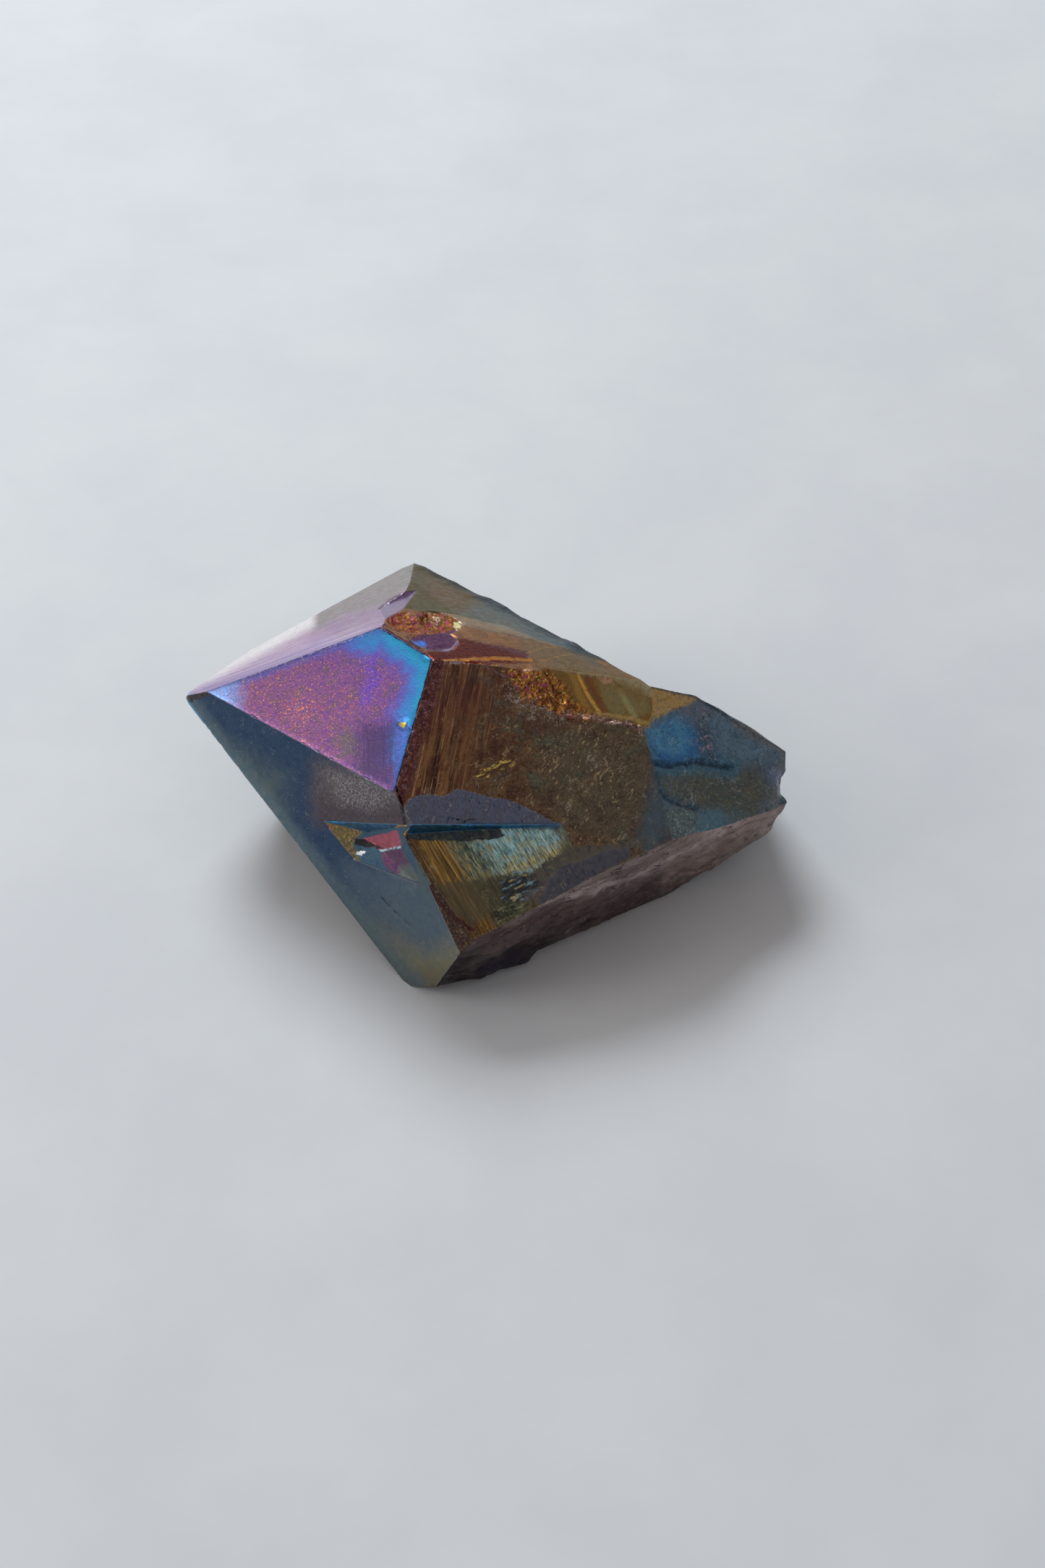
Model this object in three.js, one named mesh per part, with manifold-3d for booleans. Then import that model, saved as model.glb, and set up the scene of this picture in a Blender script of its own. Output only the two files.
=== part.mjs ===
// Titanium aura quartz point: the broken-off tip of one quartz crystal, lying on its fracture.
//
// The crystal is worked out in its own axes, in millimetres: the c-axis is local +Z and runs
// out through the tip, azimuth 0 is the front prism face, and the junction of the three large
// tip faces is the local origin. Every flat face is a half-space given by the azimuth and
// inclination of its outward normal and its distance from that origin, so the angles can be
// read against those of quartz: 51.8 degrees for a rhombohedral face, 90 for a prism face.
// At the end the crystal is turned into its resting pose, +Z up, with its underside at z = 0.
import * as THREE from "three";
import { mergeVertices } from "three/addons/utils/BufferGeometryUtils.js";
import Module from "manifold-3d";

const wasm = await Module();
wasm.setup();

// ---- tip: rhombohedral faces (azimuth, inclination, distance) ----
const TIP_BACK = [61.7, 51.6, 0];
const TIP_FRONT = [0.8, 51.6, 0];
const TIP_LOWER = [-56.8, 49, 0];
const TIP_REAR = [120.2, 51.3, 4.8];
const TIP_UNDER = [-118.3, 54.4, 2.25];
const TIP_HIDDEN = [180, 51.8, 3.35];

const TIP_FACES = [TIP_BACK, TIP_FRONT, TIP_LOWER, TIP_REAR, TIP_UNDER, TIP_HIDDEN];

// ---- prism faces ----
const PRISM_FRONT = [-2.8, 91.9, 13.2];
const PRISM_TOP = [58.2, 89.3, 10.9];
const PRISM_REAR = [120, 90, 17.5];
const PRISM_BASE = [180, 90, 13.6];
const PRISM_UNDER = [-120, 90, 19.4];
const PRISM_FACES = [PRISM_FRONT, PRISM_TOP, PRISM_REAR, PRISM_BASE, PRISM_UNDER];

// ---- fractures that end the crystal ----
const UNDERCUT = [-71.1, 125.4, 29.95];
const UNDERCUT_END = [-69, 135.5, 35.85];
const BROKEN_END = [6.2, 110.6, 23.45];
const END_WALL = [104.8, 169.7, 46.3];
const END_UNDERSIDE = [-150.8, 130.7, 29.4];
const END_TOP = [74.6, 107, 19.05];
const FRACTURES = [UNDERCUT, UNDERCUT_END, BROKEN_END, END_WALL, END_UNDERSIDE, END_TOP];

// ---- worn and broken edges: front to top, at the peak, and the lowest corner ----
const TOP_BEVEL = [48.3, 85.9, 9.7];
const PEAK_BEVEL = [56.2, 85, 9.5];
const LOW_CORNER = [-105.2, 110.6, 25.45];
const BEVELS = [TOP_BEVEL, PEAK_BEVEL, LOW_CORNER];

// ---- recesses: the floors and walls that bound each one ----
const BACK_BREAK = [81.6, 115.3, 20.7];
const BACK_SHOULDER = [83.1, 85.1, 3.75];
const SHOULDER_FLOOR = [1.8, 91.5, 12.85];
const SHOULDER_RIM = [70.3, 85.7, 3.3];
const SHOULDER_WALL = [27.3, 120.3, 23.8];
const RECESS_FLOOR = [-7.9, 85.3, 10.4];
const RECESS_LEDGE = [-74.6, 102.5, 16.25];
const NOTCH_LEFT = [-36.2, 55.1, 0.45];
const NOTCH_RIGHT = [-62.1, 42.5, -2.9];
const NOTCH_FRONT = [-28.6, 43.3, -3.85];
const NOTCH_LEDGE = [-84.3, 75.5, 6.5];
const WEAR_FLOOR = [-41, 60.2, 4.65];
const WEAR_END = [-76.9, 99.5, 18.85];
const STEP_FLOOR = [62.2, 59.5, 2.15];
const STEP_WALL = [-1.5, 119.6, 8.6];
const RECESSES = [
  [BACK_BREAK, BACK_SHOULDER],
  [SHOULDER_FLOOR, SHOULDER_RIM, SHOULDER_WALL],
  [RECESS_FLOOR, RECESS_LEDGE],
  [NOTCH_LEFT, NOTCH_RIGHT, NOTCH_FRONT, NOTCH_LEDGE],
  [WEAR_FLOOR, WEAR_END],
  [STEP_FLOOR, STEP_WALL],
];

// ---- conchoidal scoops: centre and radius, and the size of the facets they are made of ----
const EDGE_SCOOPS = [
  [9.6, 8.3, -14, 2.65],
  [8.9, 9.1, -16.5, 2.65],
  [13.3, 9, -16, 5.1],
];
const END_SCOOPS = [
  [17.6, 2.4, -38.6, 7.2],
  [22.1, 0, -45.1, 13.65],
  [16.5, 5, -45, 8.65],
  [14, -3.6, -42.4, 4.4],
];
const BACK_SCOOPS = [
  [-9.7, 17.7, -37, 11],
  [-6.6, 18.5, -26.2, 7],
];
const SCOOPS = [...EDGE_SCOOPS, ...END_SCOOPS, ...BACK_SCOOPS];
const SCOOP_STEP = 0.6;

// ---- resting pose: turn about the c-axis, lean from upright, heading of the tip ----
const ROLL = 149;
const LEAN = 75.3;
const HEADING = 176.9;
const REST_LEVEL = -14.15;
const SHIFT_X = -22.45;
const SHIFT_Y = 2.26;

const BLOCK = 160;

const radians = (degrees) => (degrees * Math.PI) / 180;

function solid(geometry) {
  geometry.deleteAttribute("normal");
  geometry.deleteAttribute("uv");
  const merged = mergeVertices(geometry, 1e-5);
  return new wasm.Manifold(
    new wasm.Mesh({
      numProp: 3,
      vertProperties: new Float32Array(merged.attributes.position.array),
      triVerts: new Uint32Array(merged.index.array),
    }),
  );
}

function asGeometry(manifold) {
  const mesh = manifold.getMesh();
  const geometry = new THREE.BufferGeometry();
  geometry.setAttribute("position", new THREE.BufferAttribute(mesh.vertProperties, 3));
  geometry.setIndex(new THREE.BufferAttribute(mesh.triVerts, 1));
  return geometry;
}

// Everything on the outer side of a face.
function outside([azimuth, inclination, distance]) {
  const block = new THREE.BoxGeometry(BLOCK, BLOCK, BLOCK);
  block.translate(0, 0, BLOCK / 2 + distance);
  block.rotateY(radians(inclination));
  block.rotateZ(radians(azimuth));
  return solid(block);
}

function ball([x, y, z, radius]) {
  const steps = Math.round((Math.PI * radius) / SCOOP_STEP);
  const sphere = new THREE.SphereGeometry(radius, 2 * steps, steps);
  sphere.translate(x, y, z);
  return solid(sphere);
}

// What several faces have outside them together: the material a recess takes away.
function wedge(...faces) {
  return faces.map(outside).reduce((a, b) => a.intersect(b));
}

let crystal = solid(new THREE.BoxGeometry(BLOCK, BLOCK, BLOCK));
for (const face of [...TIP_FACES, ...PRISM_FACES, ...FRACTURES, ...BEVELS]) {
  crystal = crystal.subtract(outside(face));
}
for (const recess of RECESSES) {
  crystal = crystal.subtract(wedge(...recess));
}
for (const scoop of SCOOPS) {
  crystal = crystal.subtract(ball(scoop));
}

// Lay the crystal down and cut the one flat facet it rests on.
const lying = asGeometry(crystal);
lying.rotateZ(radians(ROLL));
lying.rotateY(radians(LEAN));
lying.rotateZ(radians(HEADING));
const ground = new THREE.BoxGeometry(BLOCK, BLOCK, BLOCK);
ground.translate(0, 0, REST_LEVEL - BLOCK / 2);
const resting = asGeometry(solid(lying).subtract(solid(ground)));
resting.translate(SHIFT_X, SHIFT_Y, -REST_LEVEL);

const quartz = new THREE.MeshStandardMaterial({ color: 0x7a5a8c, metalness: 0.6, roughness: 0.3 });
quartz.name = "aura_quartz";
const point = new THREE.Mesh(resting, quartz);
point.name = "quartz_point";

const group = new THREE.Group();
group.add(point);
export default group;
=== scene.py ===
"""The looks of a titanium aura quartz point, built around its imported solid.

Lengths are in millimetres until a mesh is written, and in metres in Blender's objects.
The solid's flat faces are cut into fine triangles, worn along their edges and given the relief
that each kind of surface has. Each kind of surface then has its own procedural material.
"""

import math
from itertools import pairwise

import bpy
import numpy as np
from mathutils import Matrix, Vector
from mathutils.geometry import delaunay_2d_cdt
from mathutils.kdtree import KDTree


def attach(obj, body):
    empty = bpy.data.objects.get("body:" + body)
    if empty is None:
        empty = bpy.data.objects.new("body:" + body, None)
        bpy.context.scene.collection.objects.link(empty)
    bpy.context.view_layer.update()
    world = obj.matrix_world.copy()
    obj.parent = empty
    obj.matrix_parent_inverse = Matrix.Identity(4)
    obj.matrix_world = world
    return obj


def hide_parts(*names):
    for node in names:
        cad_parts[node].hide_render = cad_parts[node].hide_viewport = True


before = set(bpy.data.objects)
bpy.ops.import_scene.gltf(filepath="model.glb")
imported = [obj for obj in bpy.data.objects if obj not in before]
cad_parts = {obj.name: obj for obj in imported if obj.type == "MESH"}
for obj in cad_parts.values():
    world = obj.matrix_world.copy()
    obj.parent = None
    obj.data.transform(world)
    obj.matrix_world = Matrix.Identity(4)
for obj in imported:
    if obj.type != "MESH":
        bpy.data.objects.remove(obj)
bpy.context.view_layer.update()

MM = 0.001
SEED = 7
TINY = 1e-12

# ---- the crystal's pose: turn about its c-axis, lean from upright, heading of the tip ----
ROLL, LEAN, HEADING = 149, 75.3, 176.9

# ---- outward directions of its flat faces: azimuth and inclination from the c-axis ----
FACES = {
    "tip_back": (61.7, 51.6),
    "tip_front": (0.8, 51.6),
    "tip_lower": (-56.8, 49),
    "tip_rear": (120.2, 51.3),
    "tip_under": (-118.3, 54.4),
    "tip_hidden": (180, 51.8),
    "prism_front": (-2.8, 91.9),
    "prism_top": (58.2, 89.3),
    "prism_rear": (120, 90),
    "prism_base": (180, 90),
    "peak_bevel": (56.2, 85),
    "top_bevel": (48.3, 85.9),
    "back_break": (81.6, 115.3),
    "back_shoulder": (83.1, 85.1),
    "shoulder": (1.8, 91.5),
    "recess": (-7.9, 85.3),
    "recess_ledge": (-74.6, 102.5),
    "notch_ledge": (-84.3, 75.5),
    "shoulder_rim": (70.3, 85.7),
    "shoulder_wall": (27.3, 120.3),
    "step_wall": (-1.5, 119.6),
    "wear_end": (-76.9, 99.5),
    "notch_left": (-36.2, 55.1),
    "notch_right": (-62.1, 42.5),
    "notch_front": (-28.6, 43.3),
    "wear": (-41, 60.2),
    "step": (62.2, 59.5),
    "undercut": (-71.1, 125.4),
    "undercut_end": (-69, 135.5),
    "low_corner": (-105.2, 110.6),
    "broken_end": (6.2, 110.6),
    "end_wall": (104.8, 169.7),
    "end_underside": (-150.8, 130.7),
    "end_top": (74.6, 107),
}
FACE_TOLERANCE = 2.0

# ---- the camera: 60 mm lens, looking 45 degrees down, in the photograph's place ----
IMAGE_WIDTH, IMAGE_HEIGHT = 1445, 2168
LENS, SENSOR = 60, 36
CAMERA_PLACE = (3.23, -153.34, 159.11)
CAMERA_TILT = 45

# ---- fineness of the mesh in mm: where it is seen, and where it isn't ----
FINE, COARSE = 0.24, 0.6
FINE_EDGE, COARSE_EDGE = 0.13, 0.4
# Rings of points along an outline: their distance from it, and their spacing.
RINGS = ((0.06, 0.05), (0.15, 0.09))
RING_THINNING, RING_CLEARANCE = 1.3, 0.85
JITTER = 0.15
GRID_CLEARANCE, RING_GAP = 0.55, 0.5
SMALL_OUTLINE = 12
MESH_TOLERANCE = 1e-7
WELD = 1e-3
CHUNK = 2_000_000

# ---- flat faces and folds, in mm, square mm and degrees ----
FLAT_TOLERANCE = 0.004
FLAT_AREA = 0.9
CREASE_ANGLE, SMALL_CREASE_ANGLE = 14, 24
LINE_SAMPLE = 0.04
EDGE_REACH = 3.0
VISIBLE_LIMIT = -0.05
# Small facets belong to the broken end, the back or the shoulder from these places on.
END_FROM, BACK_FROM, FOLD_FROM = 12, 8, 3

# ---- smoothing and wear ----
FIRM_REACH = 0.01
SCOOP_ROUNDS, NORMAL_ROUNDS, ZONE_ROUNDS = 8, 6, 3
NOSE_REACH, NOSE_WEAR = 0.9, 0.3
RIDGE_REACH, RIDGE_WEAR, CHIP_WEAR = 0.16, 0.025, 0.1
LUMP_HEIGHT = 0.35
GROUND_CLEARANCE = 0.8
BARK_GRAIN = (0.85, 0.52, 0.11)

# ---- floor and light ----
FLOOR_HALF = 1.2
FLOOR_TONES = (0xCED0D3, 0xD3D5D7)
SKY_TONE, SKY_STRENGTH = 0xDAD6D6, 0.52
BACK_PLACE, BACK_SIZE, BACK_POWER = (-0.18, 0.51, 0.54), 0.35, 4.2
SIDE_PLACE, SIDE_SIZE, SIDE_POWER = (-0.5, -0.06, 0.26), 0.3, 0.85
WINDOW_TONE = (0.86, 0.94, 1.0)
SIDE_TONE = (0.97, 0.95, 0.93)


def unit(v):
    v = np.asarray(v, float)
    return v / np.linalg.norm(v)


def turn_z(degrees):
    a = math.radians(degrees)
    return np.array([[math.cos(a), -math.sin(a), 0], [math.sin(a), math.cos(a), 0], [0, 0, 1]])


def turn_y(degrees):
    a = math.radians(degrees)
    return np.array([[math.cos(a), 0, math.sin(a)], [0, 1, 0], [-math.sin(a), 0, math.cos(a)]])


LYING = turn_z(HEADING) @ turn_y(LEAN) @ turn_z(ROLL)


def lying(azimuth, inclination):
    """A direction of the crystal in the part's frame."""
    return LYING @ turn_z(azimuth) @ turn_y(inclination) @ np.array([0, 0, 1.0])


FACE_NORMALS = {name: lying(*angles) for name, angles in FACES.items()}
TILT_COS, TILT_SIN = math.cos(math.radians(CAMERA_TILT)), math.sin(math.radians(CAMERA_TILT))
TOWARDS_CAMERA = np.array([0, -TILT_COS, TILT_SIN])
CAMERA_UP = np.array([0, TILT_COS, TILT_SIN])
FOCAL = LENS / SENSOR * IMAGE_HEIGHT
# The photograph's scale at the crystal.
PIXELS_PER_MM = 17.0


# ---- the solid's triangles and the flat faces they belong to ----
def cad_triangles(node):
    """The solid's points in millimetres, each kept once, and its triangles."""
    mesh = node.data
    mesh.calc_loop_triangles()
    points = np.array([vertex.co for vertex in mesh.vertices]) / MM
    corners = np.array([triangle.vertices for triangle in mesh.loop_triangles])
    keys = np.round(points / WELD).astype(np.int64)
    _, first, index = np.unique(keys, axis=0, return_index=True, return_inverse=True)
    triangles = index.reshape(-1)[corners]
    whole = (triangles != np.roll(triangles, 1, axis=1)).all(1)
    return points[first], triangles[whole]


def normals_and_areas(points, triangles):
    a, b, c = (points[triangles[:, k]] for k in range(3))
    cross = np.cross(b - a, c - a)
    length = np.linalg.norm(cross, axis=1)
    return cross / np.maximum(length, TINY)[:, None], length / 2


def sides(triangles):
    """The three sides of each triangle, as pairs of points."""
    return np.sort(triangles[:, [[0, 1], [1, 2], [2, 0]]], axis=2).reshape(-1, 2)


def edges_and_owners(triangles):
    """The edges of a closed mesh, each with the two triangles that it joins."""
    edges = sides(triangles)
    owner = np.repeat(np.arange(len(triangles)), 3)
    order = np.lexsort((edges[:, 1], edges[:, 0]))
    return edges[order][0::2], owner[order].reshape(-1, 2)


def flat_groups(points, triangles, normals, areas, owners):
    """Labels coplanar neighbours alike, from the largest triangle down. Small ones stay single."""
    neighbours = [[] for _ in triangles]
    for a, b in owners:
        neighbours[a].append(b)
        neighbours[b].append(a)
    label = np.full(len(triangles), -1)
    count = 0
    for seed in np.argsort(-areas):
        if label[seed] >= 0:
            continue
        offset = normals[seed] @ points[triangles[seed, 0]]
        members, stack = [seed], [seed]
        label[seed] = count
        while stack:
            for near in neighbours[stack.pop()]:
                off_plane = np.abs(points[triangles[near]] @ normals[seed] - offset).max()
                if label[near] < 0 and off_plane < FLAT_TOLERANCE and normals[near] @ normals[seed] > 0.5:
                    label[near] = count
                    members.append(near)
                    stack.append(near)
        count += 1
        if areas[members].sum() < FLAT_AREA:
            for member in members[1:]:
                label[member] = count
                count += 1
    return label


def face_name(normal):
    """The named face that looks the same way, if one does."""
    name = max(FACE_NORMALS, key=lambda n: FACE_NORMALS[n] @ normal)
    close = FACE_NORMALS[name] @ normal > math.cos(math.radians(FACE_TOLERANCE))
    return name if close else None


# ---- the fine mesh ----
def segment_distances(spots, starts, ends):
    """Distance from each spot to the nearest of some segments, in a plane."""
    along = ends - starts
    t = ((spots[:, None] - starts) * along).sum(2) / np.maximum((along**2).sum(1), TINY)
    nearest = starts + np.clip(t, 0, 1)[:, :, None] * along
    return np.sqrt(((spots[:, None] - nearest) ** 2).sum(2)).min(1)


def inside(spots, starts, ends):
    """Even-odd test of spots against the outline that some segments make."""
    x, y = spots[:, 0:1], spots[:, 1:2]
    spans = (starts[:, 1] > y) != (ends[:, 1] > y)
    rise = np.where(np.abs(ends[:, 1] - starts[:, 1]) < TINY, TINY, ends[:, 1] - starts[:, 1])
    crossing = starts[:, 0] + (y - starts[:, 1]) * (ends[:, 0] - starts[:, 0]) / rise
    return (spans & (x < crossing)).sum(1) % 2 == 1


def in_parts(test, spots, starts, ends):
    """Runs a test on some of the spots at a time, to spare memory."""
    parts = np.array_split(spots, 1 + len(spots) * len(starts) // CHUNK)
    return np.concatenate([test(part, starts, ends) for part in parts])


def thinned(spots, spacing):
    """One spot for each cell of a square grid."""
    keys = np.round(spots / spacing).astype(np.int64)
    return spots[np.sort(np.unique(keys, axis=0, return_index=True)[1])]


def unit_rows(v):
    return v / np.maximum(np.linalg.norm(v, axis=1), TINY)[:, None]


def inner_spots(flat, links, starts, ends, seen, random):
    """Places for points inside a face: rings that follow its outline, and a jittered grid."""
    spacing = FINE if seen else COARSE
    low, high = starts.min(0), starts.max(0)
    rows = np.arange(low[1], high[1], spacing * math.sqrt(0.75))
    x, y = np.meshgrid(np.arange(low[0], high[0], spacing), rows)
    x = x + spacing / 2 * (np.arange(len(rows)) % 2)[:, None]
    grid = np.stack([x.ravel(), y.ravel()], 1)
    grid = grid + random.uniform(-JITTER, JITTER, grid.shape) * spacing

    first, last = flat[links.T]
    along = unit_rows(last - first)
    across = np.stack([-along[:, 1], along[:, 0]], 1)
    clear = spacing * GRID_CLEARANCE
    found = []
    for distance, gap in RINGS if seen else ():
        for side in (1, -1):
            ring = thinned((last + first) / 2 + side * distance * across, gap * RING_THINNING)
            near = segment_distances(ring, starts, ends)
            found.append(ring[inside(ring, starts, ends) & (near > RING_CLEARANCE * distance)])
        clear = distance + spacing * RING_GAP
    grid = grid[in_parts(inside, grid, starts, ends)]
    found.append(grid[in_parts(segment_distances, grid, starts, ends) > clear])
    return np.concatenate(found)


def shared_chains(spots, labels, edges, owners, visible):
    """Adds points along the borders of the flat faces, for the faces on both sides to use.

    Returns each border's chain of points and each face's borders.
    """
    chains, borders = {}, {}
    border = labels[owners[:, 0]] != labels[owners[:, 1]]
    for (a, b), pair in zip(edges[border], owners[border]):
        start, span = spots[a], spots[b] - spots[a]
        step = FINE_EDGE if visible[pair].any() else COARSE_EDGE
        count = max(1, math.ceil(np.linalg.norm(span) / step))
        chains[(a, b)] = [a, *range(len(spots), len(spots) + count - 1), b]
        spots.extend(start + span * share for share in np.arange(1, count) / count)
        for owner in pair:
            borders.setdefault(labels[owner], []).append((a, b))
    return chains, borders


def face_triangles(origin, normal, single, members, chains, spots, seen, random):
    """Cuts one flat face into small triangles, and adds the points inside it to the spots."""
    u = unit(np.cross(normal, (0, 0, 1) if abs(normal[2]) < 0.9 else (1, 0, 0)))
    v = np.cross(normal, u)
    used = sorted({i for edge in members for i in chains[edge]})
    local = {i: k for k, i in enumerate(used)}
    coords = (np.array([spots[i] for i in used]) - origin) @ np.stack([u, v], 1)
    links = [(local[a], local[b]) for edge in members for a, b in pairwise(chains[edge])]
    starts, ends = (coords[[local[edge[k]] for edge in members]] for k in (0, 1))
    if not single or len(used) > SMALL_OUTLINE:
        inner = inner_spots(coords, np.array(links), starts, ends, seen, random)
        coords = np.concatenate([coords, inner])
    places, _, faces, sources, _, _ = delaunay_2d_cdt([Vector(c) for c in coords], links, [], 2,
                                                     MESH_TOLERANCE)
    index = []
    for place, source in zip(places, sources):
        known = [k for k in source if k < len(used)]
        index.append(used[known[0]] if known else len(spots))
        if not known:
            spots.append(origin + place[0] * u + place[1] * v)
    corners = np.array(index)[np.array(faces)]
    a, b, c = np.array(places)[np.array(faces)].transpose(1, 0, 2)
    turn = (b - a)[:, 0] * (c - a)[:, 1] - (b - a)[:, 1] * (c - a)[:, 0]
    corners[turn < 0] = corners[turn < 0][:, ::-1]
    return corners if single else corners[in_parts(inside, (a + b + c) / 3, starts, ends)]


def fine_mesh(points, triangles, labels, normals, edges, owners, visible):
    """Cuts the flat faces into small triangles that meet exactly along the shared edges."""
    random = np.random.default_rng(SEED)
    spots = list(points)
    chains, borders = shared_chains(spots, labels, edges, owners, visible)
    made, groups = [], []
    for group, members in borders.items():
        own = np.flatnonzero(labels == group)
        origin = points[triangles[own[0], 0]]
        made.append(face_triangles(origin, normals[own[0]], len(own) == 1, members, chains, spots,
                                   visible[own[0]], random))
        groups.append(np.full(len(made[-1]), group))
    kept, index = np.unique(np.concatenate(made), return_inverse=True)
    return np.array(spots)[kept], index.reshape(-1, 3), np.concatenate(groups)


# ---- noise for the mesh's relief ----
def lattice(cells, seed):
    """A repeatable value from 0 to 1 for each whole-numbered place."""
    x, y, z = (cells[:, k].astype(np.uint64) for k in range(3))
    mixed = x * np.uint64(73856093) ^ y * np.uint64(19349663) ^ z * np.uint64(83492791)
    mixed = (mixed ^ np.uint64(seed * 2654435761)) & np.uint64(0xFFFFFFFF)
    mixed = ((mixed ^ (mixed >> np.uint64(15))) * np.uint64(2246822519)) & np.uint64(0xFFFFFFFF)
    mixed = ((mixed ^ (mixed >> np.uint64(13))) * np.uint64(3266489917)) & np.uint64(0xFFFFFFFF)
    return (mixed ^ (mixed >> np.uint64(16))).astype(float) / 0xFFFFFFFF


def noise(places, seed=0):
    """Smooth noise from -1 to 1, with features about one unit apart."""
    base = np.floor(places)
    part = places - base
    part = part * part * (3 - 2 * part)
    cells = base.astype(np.int64) + 100_000
    total = np.zeros(len(places))
    for corner in np.ndindex(2, 2, 2):
        weight = np.prod(np.where(corner, part, 1 - part), axis=1)
        total += weight * lattice(cells + corner, seed)
    return 2 * total - 1


def layered_noise(places, layers, seed=0):
    """Noise from about -1 to 1, each layer about half as coarse and half as high as the last."""
    total = sum(noise(places * 2.03**k, seed + k) * 0.5**k for k in range(layers))
    return total / (2 - 0.5 ** (layers - 1))


def rise(value, low, high):
    """A smooth step from 0 at low to 1 at high."""
    t = np.clip((value - low) / (high - low), 0, 1)
    return t * t * (3 - 2 * t)


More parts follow.
